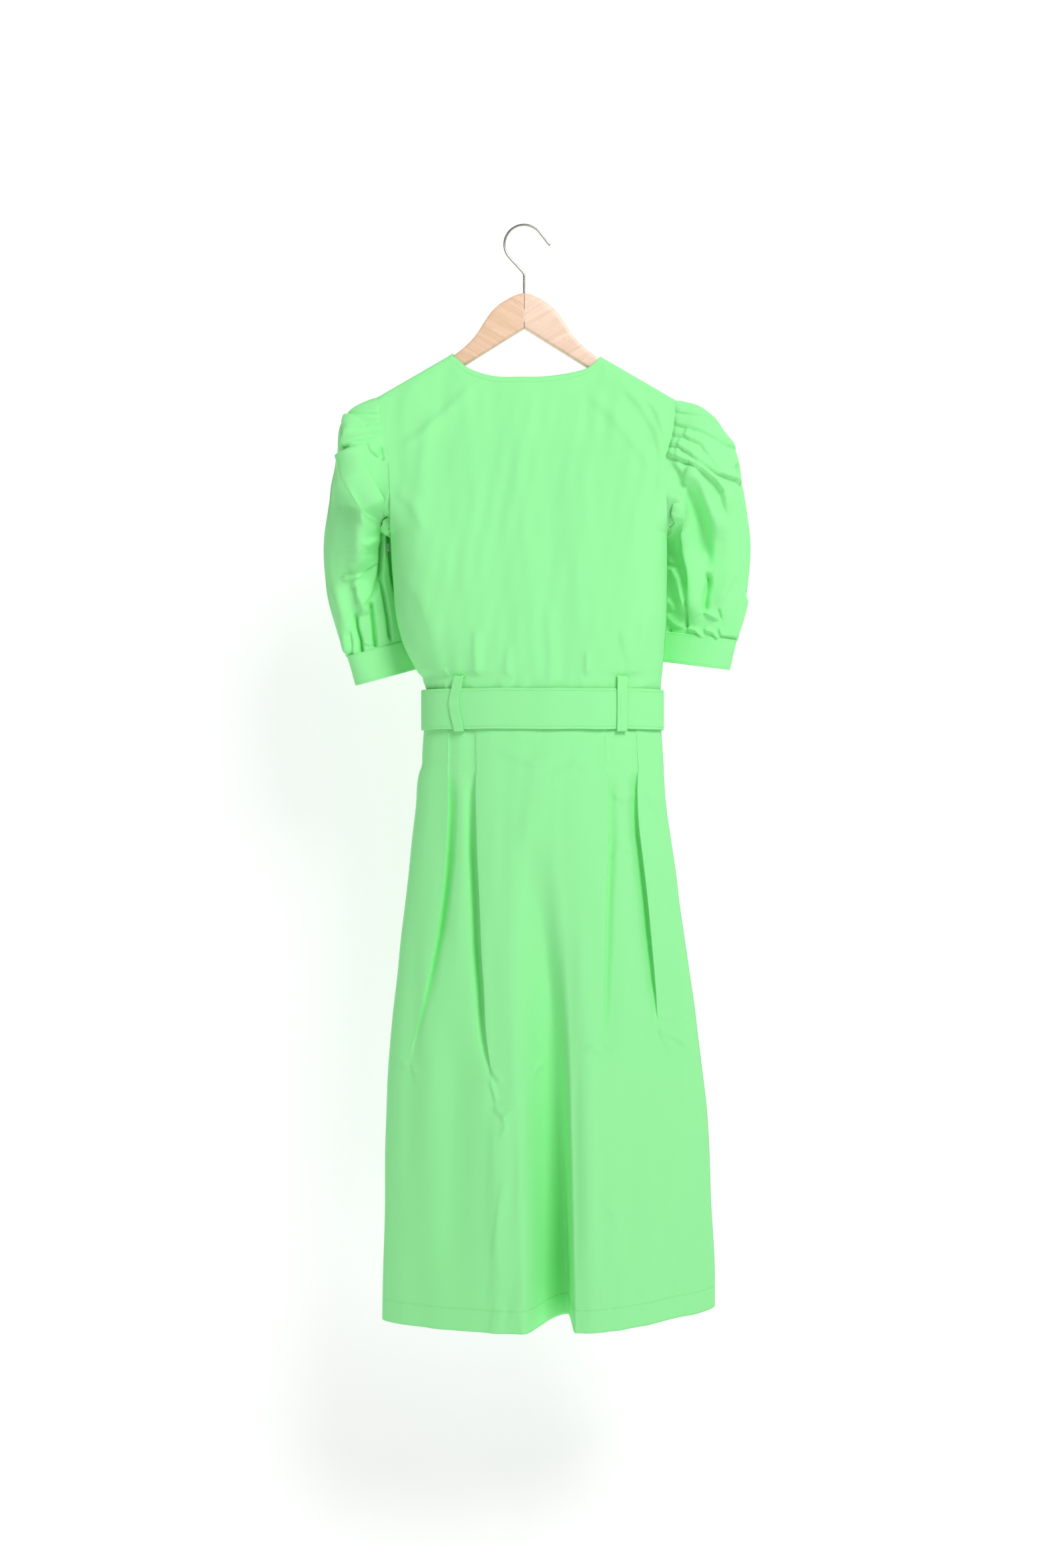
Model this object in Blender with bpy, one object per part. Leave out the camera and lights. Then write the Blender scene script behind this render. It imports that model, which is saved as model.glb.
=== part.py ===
"""A belted puff-sleeve dress hanging on a flat wooden hanger.

Lengths are millimetres; meshes are written in metres. The origin is the inside of the hook's crown,
where a rail bears. +Z is up, the back of the dress faces -Y and its front +Y.
"""
import bmesh
import bpy
import numpy as np
from math import atan2, cos, pi, radians, sin, sqrt

MM = 0.001

# ---------------------------------------------------------------- driving dimensions
GAP = 0.35                     # clearance between pieces that touch

WIRE_D = 3.0                   # hook wire
HOOK_INNER_R = 23.0            # rail space inside the hook
HOOK_TIP_RUN = 21.0            # straight end of the hook
HOOK_TIP_ANGLE = radians(38)   # where the straight end leaves the round
HOOK_NECK_ANGLE = radians(42)  # where the round turns back to the shank
HOOK_BEND_R = 6.0
SHANK_SINK = 20.0              # shank inside the wood
SHANK_PLAY = 0.35              # bore radius beyond the wire
GROOVE_R = 0.85                # neck turned in the shank for the pin
GROOVE_H = 2.6
PIN_D = 1.8
PIN_SINK = 14.0                # pin below the crown of the wood

WOOD_TOP = -84.0               # crown of the hanger
HANGER_T = 14.0                # board thickness
HANGER_REACH = 222.0           # hook axis to tip
WOOD_EDGE_R = 3.0              # rounded long edges
ARM_SLOPE = 0.58               # fall of the arm's top edge
ARM_START = 93.6               # where the arm turns straight
ARM_HEIGHT = 20.5              # vertical height of the arm
UNDER_APEX = 44.0              # height of the board at the middle
TIP_R = 8.0                    # rounded tip
CROWN = [(0.0, 0.0), (10.0, -2.4), (19.3, -6.9), (33.0, -15.8), (41.3, -24.1),
         (49.5, -35.8), (57.0, -48.0), (66.0, -59.2), (77.0, -69.5), (ARM_START, -81.9)]
SPLINE_T = 3.0                 # key in the glue joint: thickness, half width, height
SPLINE_HALF = 7.0
SPLINE_H = 9.0

CLOTH = 1.2                    # wall of a cloth panel
FACING = 0.8                   # wall of a facing or tape
OVER_WOOD = 1.4                # space between the hanger and the cloth on it

NECK_LEFT = -85.0              # where the neckline meets the shoulders
NECK_RIGHT = 94.0
NECK_SHOULDER = -166.0
BACK_NECK_DROP = 23.0
BACK_NECK_POWER = 4.0          # flat-bottomed back neckline
FRONT_NECK_DROP = 135.0
FRONT_NECK_POWER = 1.35        # near V at the front
FACING_H = 26.0
BACK_FACING_STAND = 0.35       # facing off the back panel
FRONT_FACING_STAND = 1.8       # facing off the front panel, which curves more

ARMHOLE_TOP = -221.0
UNDERARM = -385.0
WAIST = -603.0                 # waist seam, behind the middle of the belt
BELT_H = 50.0
WAIST_LEFT = -124.5
WAIST_RIGHT = 170.5
WAIST_DEPTH = 58.0             # half depth, back to front
CHEST_DEPTH = 57.0

SKIRT_L = 760.0                # waist seam to hem
HEM_LEFT = -175.0
HEM_RIGHT = 238.0
HEM_DEPTH = 92.0

SLEEVE_CLEAR = 16.0            # sleeve in front of the bodice
CUFF_DEPTH = 39.0
CUFF_HALF = 27.0               # half depth of the cuff's oval

BELT_T = 1.5
BELT_STAND = 2.2               # belt off the dress
BELT_RISE = 8.0                # how far the belt can be pushed up in its loops
BELT_OVERLAP = 100.0           # tongue past the buckle's middle
LOOP_W = 13.0
LOOP_T = 1.2
LOOP_FOOT = 1.8                # sewn ends off the waist's oval
LOOP_ABOVE = 15.0              # loop reaches this far above the belt
BUCKLE_WIRE = 3.0
BUCKLE_HALF = 18.0             # middle to side member
FOLD_PLAY = 0.4                # belt end round the buckle's member
KEEPER_W = 10.0

ZIP_TOP = -390.0
ZIP_END = -662.0
TAPE_W = 11.0
TAPE_STAND = 3.2               # tapes off the panels' inside
SLIDER = (3.0, 5.0, 9.0)       # depth, width, length
PULL = (1.0, 4.0, 15.0)
SLIDER_STAND = 1.6             # slider off the curved seam

# ---------------------------------------------------------------- derived sizes
BELT_TOP = WAIST + BELT_H / 2
HEM = WAIST - SKIRT_L
SHOULDER_DEPTH = HANGER_T / 2 + OVER_WOOD + FACING + FRONT_FACING_STAND + CLOTH
SHOULDER_LIFT = OVER_WOOD + CLOTH + 1.6
HOOK_R = HOOK_INNER_R + WIRE_D / 2
SLEEVE_FORWARD = CHEST_DEPTH + SLEEVE_CLEAR
HOOK_Z = -HOOK_INNER_R

# Side edges of the dress above the waist, as (height, left x, right x).
BODICE_SIDES = [(ARMHOLE_TOP, -182.0, 190.0), (-250.0, -180.0, 188.5), (-277.0, -175.5, 182.5),
                (-298.0, -170.5, 176.0), (-335.0, -168.0, 177.5), (UNDERARM, -167.0, 178.5),
                (-440.0, -163.5, 178.5), (-495.0, -158.0, 177.3), (-524.0, -149.4, 175.0),
                (-550.0, -136.0, 172.5), (BELT_TOP + BELT_RISE, WAIST_LEFT, WAIST_RIGHT)]
# Skirt sides as (share of the skirt's length, share of the way from waist to hem: left, right).
SKIRT_SIDES = [(0.0, 0.0, 0.0), (0.055, 0.0, 0.0), (0.10, 0.10, 0.06), (0.21, 0.31, 0.19),
               (0.32, 0.49, 0.36), (0.43, 0.66, 0.53), (0.53, 0.84, 0.69), (0.64, 0.92, 0.83),
               (0.80, 0.97, 0.93), (1.0, 1.0, 1.0)]
DEPTHS = [(ARMHOLE_TOP, SHOULDER_DEPTH), (-260.0, 15.0), (-300.0, 28.0), (-345.0, 43.0),
          (UNDERARM, 52.0), (-450.0, CHEST_DEPTH),
          (BELT_TOP + BELT_RISE, WAIST_DEPTH)]
# How far the section closes at the sides: 1 closed at the side seam, 0 open at the armhole's top.
CLOSING = [(ARMHOLE_TOP, 0.0), (-300.0, 0.12), (-345.0, 0.30), (-370.0, 0.62), (UNDERARM, 1.0)]

COLOURS = {
    "dress_cotton": ((0.31, 0.91, 0.35), 0.75, 0.0),
    "facing_cotton": ((0.28, 0.83, 0.32), 0.8, 0.0),
    "beech": ((0.93, 0.66, 0.47), 0.45, 0.0),
    "spline_wood": ((0.96, 0.80, 0.62), 0.5, 0.0),
    "hook_steel": ((0.55, 0.54, 0.50), 0.28, 1.0),
    "pin_brass": ((0.75, 0.60, 0.30), 0.35, 1.0),
    "zip_metal": ((0.40, 0.72, 0.42), 0.45, 1.0),
    "zip_tape": ((0.25, 0.72, 0.30), 0.8, 0.0),
    "label_cloth": ((0.92, 0.92, 0.90), 0.7, 0.0),
}


# ---------------------------------------------------------------- helpers
def material(name):
    """The named Principled material, made once."""
    found = bpy.data.materials.get(name)
    if found:
        return found
    colour, rough, metal = COLOURS[name]
    made = bpy.data.materials.new(name)
    made.use_nodes = True
    shader = made.node_tree.nodes["Principled BSDF"]
    shader.inputs["Base Color"].default_value = (*colour, 1.0)
    shader.inputs["Roughness"].default_value = rough
    shader.inputs["Metallic"].default_value = metal
    made.diffuse_color = (*colour, 1.0)
    return made


def add(name, points, faces, finish, origin=(0.0, 0.0, 0.0)):
    """One named closed object from points in millimetres, its faces turned outwards."""
    start = np.array(origin, dtype=float)
    local = (np.asarray(points, dtype=float) - start) * MM
    mesh = bpy.data.meshes.new(name)
    mesh.from_pydata([tuple(p) for p in local], [], [tuple(int(i) for i in f) for f in faces])
    work = bmesh.new()
    work.from_mesh(mesh)
    bmesh.ops.recalc_face_normals(work, faces=work.faces)
    work.to_mesh(mesh)
    work.free()
    mesh.shade_smooth()
    mesh.set_sharp_from_angle(angle=radians(35))
    made = bpy.data.objects.new(name, mesh)
    made.location = start * MM
    made.data.materials.append(material(finish))
    bpy.context.scene.collection.objects.link(made)
    return made


def along(table, height, column=1):
    """Read a (height, value, ...) table at a height, straight between its rows."""
    rows = sorted(table)
    return np.interp(height, [r[0] for r in rows], [r[column] for r in rows])


def left_x(z):
    share = (WAIST - np.asarray(z, dtype=float)) / SKIRT_L
    skirt = WAIST_LEFT + (HEM_LEFT - WAIST_LEFT) * along(SKIRT_SIDES, share, 1)
    return np.where(share > 0, skirt, along(BODICE_SIDES, z, 1))


def right_x(z):
    share = (WAIST - np.asarray(z, dtype=float)) / SKIRT_L
    skirt = WAIST_RIGHT + (HEM_RIGHT - WAIST_RIGHT) * along(SKIRT_SIDES, share, 2)
    return np.where(share > 0, skirt, along(BODICE_SIDES, z, 2))


def depth(z):
    """Half depth of the dress at a height."""
    share = (WAIST - np.asarray(z, dtype=float)) / SKIRT_L
    skirt = WAIST_DEPTH + (HEM_DEPTH - WAIST_DEPTH) * np.clip((share - 0.055) / 0.945, 0, 1)
    return np.where(share > 0, skirt, along(DEPTHS, z))


def middle(z):
    return (left_x(z) + right_x(z)) / 2


def half_width(z):
    return (right_x(z) - left_x(z)) / 2


def wood_top(x):
    """Top edge of the hanger: a smooth curve through the crown, then the straight arm."""
    x = abs(x)
    if x >= ARM_START:
        return WOOD_TOP + CROWN[-1][1] - ARM_SLOPE * (x - ARM_START)
    xs = [p[0] for p in CROWN]
    zs = [p[1] for p in CROWN]
    slopes = np.gradient(zs, xs)
    slopes[0] = -0.12
    slopes[-1] = -ARM_SLOPE
    i = max(0, int(np.searchsorted(xs, x)) - 1)
    h = xs[i + 1] - xs[i]
    t = (x - xs[i]) / h
    return WOOD_TOP + ((1 + 2 * t) * (1 - t) ** 2 * zs[i] + t * (1 - t) ** 2 * h * slopes[i]
                       + t * t * (3 - 2 * t) * zs[i + 1] + t * t * (t - 1) * h * slopes[i + 1])


def wood_under(x):
    """Underside of the hanger: straight from the middle to the arm, then level with the arm."""
    start = WOOD_TOP + CROWN[-1][1] - ARM_HEIGHT
    if abs(x) >= ARM_START:
        return start - ARM_SLOPE * (abs(x) - ARM_START)
    apex = WOOD_TOP - UNDER_APEX
    return apex + (start - apex) * abs(x) / ARM_START


def shell(name, outer, inner, finish, wrap=False):
    """Close an outer and an inner grid of points, rows by columns, into one thin solid."""
    rows, cols = outer.shape[:2]
    base = rows * cols
    spans = cols if wrap else cols - 1
    faces = []
    for r in range(rows - 1):
        for c in range(spans):
            d = (c + 1) % cols
            quad = [r * cols + c, r * cols + d, (r + 1) * cols + d, (r + 1) * cols + c]
            faces.append(quad)
            faces.append([base + i for i in reversed(quad)])
    for r in (0, rows - 1):
        for c in range(spans):
            d = (c + 1) % cols
            faces.append([r * cols + c, r * cols + d, base + r * cols + d, base + r * cols + c])
    if not wrap:
        for c in (0, cols - 1):
            for r in range(rows - 1):
                low, high = r * cols + c, (r + 1) * cols + c
                faces.append([low, high, base + high, base + low])
    points = np.concatenate([outer.reshape(-1, 3), inner.reshape(-1, 3)])
    return add(name, points, faces, finish)


def prism(name, outline, low, high, finish, place, origin=(0.0, 0.0, 0.0)):
    """Extrude a closed outline of (a, b) between two depths; place turns (a, b, depth) to x, y, z."""
    count = len(outline)
    points = [place(a, b, low) for a, b in outline] + [place(a, b, high) for a, b in outline]
    faces = [list(range(count)), list(range(2 * count - 1, count - 1, -1))]
    for i in range(count):
        j = (i + 1) % count
        faces.append([i, j, count + j, count + i])
    return add(name, points, faces, finish, origin)


def tube(name, path, radii, finish, sides=8, closed=False, origin=(0.0, 0.0, 0.0)):
    """Carry a round section of changing radius along a path that lies in one plane."""
    path = np.asarray(path, dtype=float)
    count = len(path)
    if closed:
        ahead = np.roll(path, -1, axis=0) - np.roll(path, 1, axis=0)
    else:
        ahead = np.gradient(path, axis=0)
    ahead /= np.linalg.norm(ahead, axis=1)[:, None]
    spread = path - path.mean(axis=0)
    flat = np.linalg.svd(spread)[2][2]
    across = np.cross(ahead, flat)
    across /= np.linalg.norm(across, axis=1)[:, None]
    turn = np.arange(sides) * 2 * pi / sides
    radii = np.broadcast_to(np.asarray(radii, dtype=float), (count,))
    ring = (across[:, None, :] * np.cos(turn)[None, :, None] + flat * np.sin(turn)[None, :, None])
    points = (path[:, None, :] + ring * radii[:, None, None]).reshape(-1, 3)
    faces = []
    for r in range(count if closed else count - 1):
        s = (r + 1) % count
        for c in range(sides):
            d = (c + 1) % sides
            faces.append([r * sides + c, r * sides + d, s * sides + d, s * sides + c])
    if not closed:
        faces.append(list(range(sides)))
        faces.append([(count - 1) * sides + i for i in range(sides)])
    return add(name, points, faces, finish, origin)


def block(name, low, high, finish, origin=(0.0, 0.0, 0.0), bevel=0.0):
    """A box between two corners, its edges bevelled."""
    (x0, y0, z0), (x1, y1, z1) = low, high
    outline = [(x0, y0), (x1, y0), (x1, y1), (x0, y1)]
    made = prism(name, outline, z0, z1, finish, lambda a, b, c: (a, b, c), origin)
    if bevel:
        edge = made.modifiers.new("edges", "BEVEL")
        edge.width = bevel * MM
        edge.segments = 2
    return made


def cut(target, tool):
    """Take a wire-display tool out of a target."""
    tool.hide_render = True
    tool.display_type = "WIRE"
    step = target.modifiers.new("cut " + tool.name, "BOOLEAN")
    step.object = tool
    step.operation = "DIFFERENCE"
    step.solver = "EXACT"


# ---------------------------------------------------------------- hook and hanger
def make_hook():
    """Wire hook: straight tip, round, lean back to the axis, then the grooved shank."""
    start = HOOK_TIP_ANGLE
    end = pi + HOOK_NECK_ANGLE
    points = []
    for run in (HOOK_TIP_RUN, HOOK_TIP_RUN - 0.8, HOOK_TIP_RUN - 2.0, HOOK_TIP_RUN / 2):
        points.append((HOOK_R * cos(start) + run * sin(start), HOOK_Z + HOOK_R * sin(start) - run * cos(start)))
    for angle in np.linspace(start, end, 24):
        points.append((HOOK_R * cos(angle), HOOK_Z + HOOK_R * sin(angle)))
    slant = (sin(HOOK_NECK_ANGLE), -cos(HOOK_NECK_ANGLE))
    run = -points[-1][0] / slant[0]
    corner = points[-1][1] + run * slant[1]
    bend = HOOK_BEND_R * np.tan(HOOK_NECK_ANGLE / 2)
    for share in np.linspace(0, HOOK_NECK_ANGLE, 5):
        points.append((-HOOK_BEND_R * (1 - cos(HOOK_NECK_ANGLE - share)),
                       corner - bend + HOOK_BEND_R * sin(HOOK_NECK_ANGLE - share)))
    radii = [WIRE_D * 0.2, WIRE_D * 0.42] + [WIRE_D / 2] * (len(points) - 2)
    groove = WOOD_TOP - PIN_SINK
    for z, r in ((groove + GROOVE_H / 2 + 0.3, WIRE_D / 2), (groove + GROOVE_H / 2, GROOVE_R),
                 (groove - GROOVE_H / 2, GROOVE_R), (groove - GROOVE_H / 2 - 0.3, WIRE_D / 2),
                 (WOOD_TOP - SHANK_SINK, WIRE_D / 2)):
        points.append((0.0, z))
        radii.append(r)
    tube("hook", [(x, 0.0, z) for x, z in points], radii, "hook_steel", sides=10)


def make_hanger():
    """Two mirrored boards with rounded edges, a bore for the shank and a slot for the spline."""
    groove = WOOD_TOP - PIN_SINK
    bore = WIRE_D / 2 + SHANK_PLAY
    pin_x = GROOVE_R + PIN_D / 2 + 0.15
    for side, name in ((-1, "hanger_left_half"), (1, "hanger_right_half")):
        tip_top = wood_top(HANGER_REACH)
        tip_low = wood_under(HANGER_REACH)
        xs = [GAP / 2, 6.0, 13.0, 19.3, 26.0, 33.0, 38.0, 43.0, 49.0, 55.0, 60.0, 66.0, 74.0, 84.0, ARM_START, 150.0]
        outline = [(x, wood_top(x)) for x in xs]
        for share in np.linspace(0, 1, 4):
            angle = share * pi / 2
            x = HANGER_REACH - TIP_R + TIP_R * sin(angle)
            outline.append((x, wood_top(x) - TIP_R * 0.8 * (1 - cos(angle))))
        for share in np.linspace(0, 1, 4):
            angle = share * pi / 2
            x = HANGER_REACH - TIP_R + TIP_R * cos(angle)
            outline.append((x, wood_under(x) + TIP_R * 0.5 * (1 - sin(angle))))
        outline += [(ARM_START, wood_under(ARM_START)), (GAP / 2, wood_under(0))]
        outline = [(side * x, z) for x, z in outline]
        half = prism(name, outline, -HANGER_T / 2, HANGER_T / 2, "beech", lambda a, b, c: (a, c, b))
        round_long_edges(half, side)
        shank = prism("bore_" + name, circle(bore, 16), WOOD_TOP - SHANK_SINK - 0.6, WOOD_TOP + 5,
                      "beech", lambda a, b, c: (a, b, c))
        cut(half, shank)
        slot = block("slot_" + name, (-SPLINE_HALF - GAP, -SPLINE_T / 2 - GAP, wood_under(0) - 20),
                     (SPLINE_HALF + GAP, SPLINE_T / 2 + GAP, wood_under(0) + SPLINE_H + GAP), "beech")
        cut(half, slot)
        if side > 0:
            hole = prism("pin_hole", circle(PIN_D / 2 + 0.15, 12, pin_x, groove), -HANGER_T, HANGER_T,
                         "beech", lambda a, b, c: (a, c, b))
            cut(half, hole)
    prism("hook_pin", circle(PIN_D / 2, 12, pin_x, groove), -HANGER_T / 2 + 1, HANGER_T / 2 - 1,
          "pin_brass", lambda a, b, c: (a, c, b))
    low = wood_under(0)
    prism("hanger_spline",
          [(-SPLINE_HALF, wood_under(SPLINE_HALF)), (0.0, low), (SPLINE_HALF, wood_under(SPLINE_HALF)),
           (SPLINE_HALF, low + SPLINE_H), (-SPLINE_HALF, low + SPLINE_H)],
          -SPLINE_T / 2, SPLINE_T / 2, "spline_wood", lambda a, b, c: (a, c, b))


def round_long_edges(half, side):
    """Bevel the board's outline edges, except those at the glue joint."""
    work = bmesh.new()
    work.from_mesh(half.data)
    face_y = HANGER_T / 2 * MM
    joint = GAP / 2 * MM
    chosen = []
    for edge in work.edges:
        a, b = (v.co for v in edge.verts)
        on_face = abs(abs(a.y) - face_y) < 1e-6 and abs(a.y - b.y) < 1e-6
        at_joint = abs(abs(a.x) - joint) < 1e-6 and abs(abs(b.x) - joint) < 1e-6
        if on_face and not at_joint:
            chosen.append(edge)
    bmesh.ops.bevel(work, geom=chosen, offset=WOOD_EDGE_R * MM, segments=3, profile=0.5,
                    affect="EDGES", clamp_overlap=True)
    work.to_mesh(half.data)
    work.free()


def circle(radius, count, x=0.0, y=0.0):
    """Outline of a circle of count points."""
    return [(x + radius * cos(2 * pi * i / count), y + radius * sin(2 * pi * i / count)) for i in range(count)]


# ---------------------------------------------------------------- cloth panels
def shoulder_line(x):
    return wood_top(x) + SHOULDER_LIFT


def cloth_y(x, z, facing=-1):
    """Outer surface of the bodice: an oval section that arches over the hanger at the shoulders."""
    z = np.asarray(z, dtype=float)
    share = (x - middle(z)) / half_width(z)
    closing = np.where(z > UNDERARM, along(CLOSING, z), 1.0)
    oval = np.sqrt(np.clip(1 - closing * share ** 2, 0, 1))
    drop = np.clip(np.vectorize(shoulder_line)(x) - z, 0, SHOULDER_DEPTH)
    arch = np.clip(1 - (1 - drop / SHOULDER_DEPTH) ** 3, 0, 1) ** (1 / 3)
    return facing * np.maximum(depth(z) * oval * arch, GAP)


def cloth_grid(x, z, facing, inset):
    """Points of the bodice surface, moved inwards along its normal by inset."""
    step = 0.01
    y = cloth_y(x, z, facing)
    slope_x = (cloth_y(x + step, z, facing) - cloth_y(x - step, z, facing)) / (2 * step)
    slope_z = (cloth_y(x, z + step, facing) - cloth_y(x, z - step, facing)) / (2 * step)
    edge = np.abs(y) <= GAP + 1e-6
    sideways = np.where(z > UNDERARM, 0.0, np.sign(x - middle(z)))
    normal = facing * np.stack([-slope_x, np.ones_like(y), -slope_z], axis=-1)
    seam = np.stack([sideways, np.zeros_like(y), 1.0 - np.abs(sideways)], axis=-1)
    normal = np.where(edge[..., None], seam, normal)
    normal /= np.linalg.norm(normal, axis=-1)[..., None]
    return np.stack([x, y, z], axis=-1) - normal * inset


def neckline(drop, power):
    """Neck edge as x and z: level in the middle, rising to both shoulders and over the hanger."""
    centre = (NECK_LEFT + NECK_RIGHT) / 2
    half = (NECK_RIGHT - NECK_LEFT) / 2
    share = np.sin(np.linspace(-1, 1, 11) * pi / 2)
    x = centre + half * share
    z = NECK_SHOULDER - drop * (1 - np.abs(share) ** power)
    return x, z


def armhole_top(side):
    """Height of the shoulder where the armhole starts."""
    edge = left_x(ARMHOLE_TOP) if side < 0 else right_x(ARMHOLE_TOP)
    return shoulder_line(float(edge))


def bodice_columns(facing):
    """Top edge of a bodice panel from armhole to armhole: shoulder, neckline, shoulder."""
    drop, power = (BACK_NECK_DROP, BACK_NECK_POWER) if facing < 0 else (FRONT_NECK_DROP, FRONT_NECK_POWER)
    neck_x, neck_z = neckline(drop, power)
    left = np.linspace(float(left_x(ARMHOLE_TOP)), NECK_LEFT - 3.0, 5)
    right = np.linspace(NECK_RIGHT + 3.0, float(right_x(ARMHOLE_TOP)), 5)
    top_x = np.concatenate([left, [NECK_LEFT - 1.5], neck_x, [NECK_RIGHT + 1.5], right])
    climb_left = (NECK_SHOULDER + shoulder_line(NECK_LEFT)) / 2
    climb_right = (NECK_SHOULDER + shoulder_line(NECK_RIGHT)) / 2
    top_z = np.concatenate([[shoulder_line(x) for x in left], [climb_left], neck_z, [climb_right],
                            [shoulder_line(x) for x in right]])
    return top_x, top_z


def bodice_rows(top_z):
    """Shares of the way up a bodice panel, and the heights they give under each top point."""
    rise = np.array([0.0, 0.07, 0.18, 0.3, 0.42, 0.54, 0.66, 0.77, 0.87, 0.935, 0.965, 0.983, 0.994, 1.0])
    low_z = BELT_TOP + BELT_RISE
    top_z = np.atleast_1d(top_z)
    z = low_z + rise[:, None] * (top_z - low_z)[None, :]
    z = np.concatenate([np.full((1, len(top_z)), WAIST + GAP), z])
    return np.concatenate([[0.0], rise]), z


def make_bodice(name, facing):
    """A bodice panel from the waist seam to the shoulders, between its side seams and armholes."""
    top_x, top_z = bodice_columns(facing)
    rise, z = bodice_rows(top_z)
    top_share = (top_x - middle(top_z)) / half_width(top_z)
    low_share = -np.cos(np.linspace(0, 1, len(top_x)) * pi)
    share = (1 - rise[:, None]) * low_share[None, :] + rise[:, None] * top_share[None, :]
    x = middle(z) + half_width(z) * np.clip(share, -1, 1)
    shell(name, cloth_grid(x, z, facing, 0.0), cloth_grid(x, z, facing, CLOTH), "dress_cotton")


def make_neck_facing(name, facing):
    """A strip inside the neckline, clear of the hanger."""
    drop, power = (BACK_NECK_DROP, BACK_NECK_POWER) if facing < 0 else (FRONT_NECK_DROP, FRONT_NECK_POWER)
    x, z = neckline(drop, power)
    keep = slice(1, -1)
    x, z = x[keep], z[keep]
    fall = np.linspace(0, 1, 3)[:, None]
    grid_x = np.broadcast_to(x, (3, len(x)))
    grid_z = z[None, :] - fall * FACING_H
    near = CLOTH + (BACK_FACING_STAND if facing < 0 else FRONT_FACING_STAND)
    shell(name, cloth_grid(grid_x, grid_z, facing, near), cloth_grid(grid_x, grid_z, facing, near + FACING),
          "facing_cotton")


def oval_wall(z, angles, inset):
    """Points of the dress's oval section at each height, inset from its outer surface."""
    z = np.asarray(z, dtype=float)[:, None]
    x = middle(z) + (half_width(z) - inset) * np.cos(angles)[None, :]
    y = (depth(z) - inset) * np.sin(angles)[None, :]
    return np.stack([x, y, np.broadcast_to(z, x.shape)], axis=-1)


def skirt_rows():
    """Heights of the skirt's rows, closer together over the hips."""
    shares = np.array([0.0, 0.055, 0.14, 0.24, 0.36, 0.5, 0.65, 0.82, 1.0])
    return WAIST - GAP - shares * (SKIRT_L - GAP)


def make_skirt(name, facing):
    """A skirt panel, one half of the oval, from the waist seam to the hem."""
    z = skirt_rows()
    edge = GAP / WAIST_DEPTH
    angles = facing * np.linspace(edge, pi - edge, 21)
    shell(name, oval_wall(z, angles, 0.0), oval_wall(z, angles, CLOTH), "dress_cotton")


def make_zip():
    """Zip in the left side seam: two tapes inside, slider and pull outside, stop at the hip."""
    seam = np.concatenate([bodice_rows(armhole_top(-1))[1][:, 0], skirt_rows()])
    z = np.concatenate([[ZIP_TOP], np.sort(seam[(seam < ZIP_TOP) & (seam > ZIP_END)])[::-1], [ZIP_END]])
    near = CLOTH + TAPE_STAND
    for name, facing in (("zip_tape_back", -1), ("zip_tape_front", 1)):
        spans = np.array([GAP * 1.5, TAPE_W * 0.4, TAPE_W])
        grids = []
        for inset in (near, near + FACING):
            wall = (depth(z) - inset)[:, None]
            y = facing * np.broadcast_to(spans, (len(z), len(spans)))
            x = middle(z)[:, None] - (half_width(z)[:, None] - inset) * np.sqrt(1 - (y / wall) ** 2)
            grids.append(np.stack([x, y, np.broadcast_to(z[:, None], x.shape)], axis=-1))
        shell(name, grids[0], grids[1], "zip_tape")
    top = ZIP_TOP - 6.0
    outer = float(left_x(top)) - SLIDER_STAND
    thick, wide, long = SLIDER
    block("zip_slider", (outer - thick, -wide / 2, top - long), (outer, wide / 2, top), "zip_metal", bevel=0.5)
    hinge = (outer - thick - GAP - PULL[0] / 2, 0.0, top - 1.0)
    block("zip_pull", (hinge[0] - PULL[0] / 2, -PULL[1] / 2, hinge[2] - PULL[2]),
          (hinge[0] + PULL[0] / 2, PULL[1] / 2, hinge[2] + 0.5), "zip_metal", origin=hinge)
    inside = float(left_x(ZIP_END + 4)) + near + FACING + GAP + 1.0
    block("zip_bottom_stop", (inside, -2.5, ZIP_END), (inside + 1.6, 2.5, ZIP_END + 5), "zip_metal")


# ---------------------------------------------------------------- sleeves
# Each ring: outer end beyond the hanger's tip, its depth share and height; inner end inside the
# side seam, its depth share and height; half depth. Depth shares are of SLEEVE_FORWARD.
LEFT_RINGS = [(-9.0, 0.0, -227.0, -4.0, 0.05, -387.5, 30.0), (10.0, 0.02, -243.0, -6.0, 0.22, -389.5, 38.0),
              (13.0, 0.08, -285.0, -7.0, 0.50, -392.0, 40.0), (20.0, 0.20, -335.0, -2.0, 0.78, -398.0, 40.0),
              (29.0, 0.32, -390.0, 8.0, 0.95, -412.0, 38.0), (28.0, 0.36, -440.0, 18.0, 1.02, -438.0, 35.0),
              (16.0, 0.34, -492.0, 28.0, 1.05, -472.0, 31.0)]
RIGHT_RINGS = [(-6.0, 0.0, -224.0, -4.0, 0.05, -387.5, 30.0), (16.0, 0.02, -243.0, -6.0, 0.22, -389.5, 38.0),
               (42.0, 0.08, -276.0, -8.0, 0.50, -392.0, 40.0), (56.0, 0.20, -335.0, -9.0, 0.78, -398.0, 40.0),
               (64.0, 0.32, -390.0, -6.0, 0.95, -412.0, 38.0), (61.0, 0.36, -440.0, 2.0, 1.02, -438.0, 35.0),
               (53.0, 0.34, -482.0, 8.0, 1.05, -468.0, 31.0)]
LEFT_CUFF = ((0.0, -534.0), (-107.0, 30.0), (12.0, -37.0))
RIGHT_CUFF = ((46.0, -514.0), (-106.0, 13.0), (10.0, -37.5))


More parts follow.
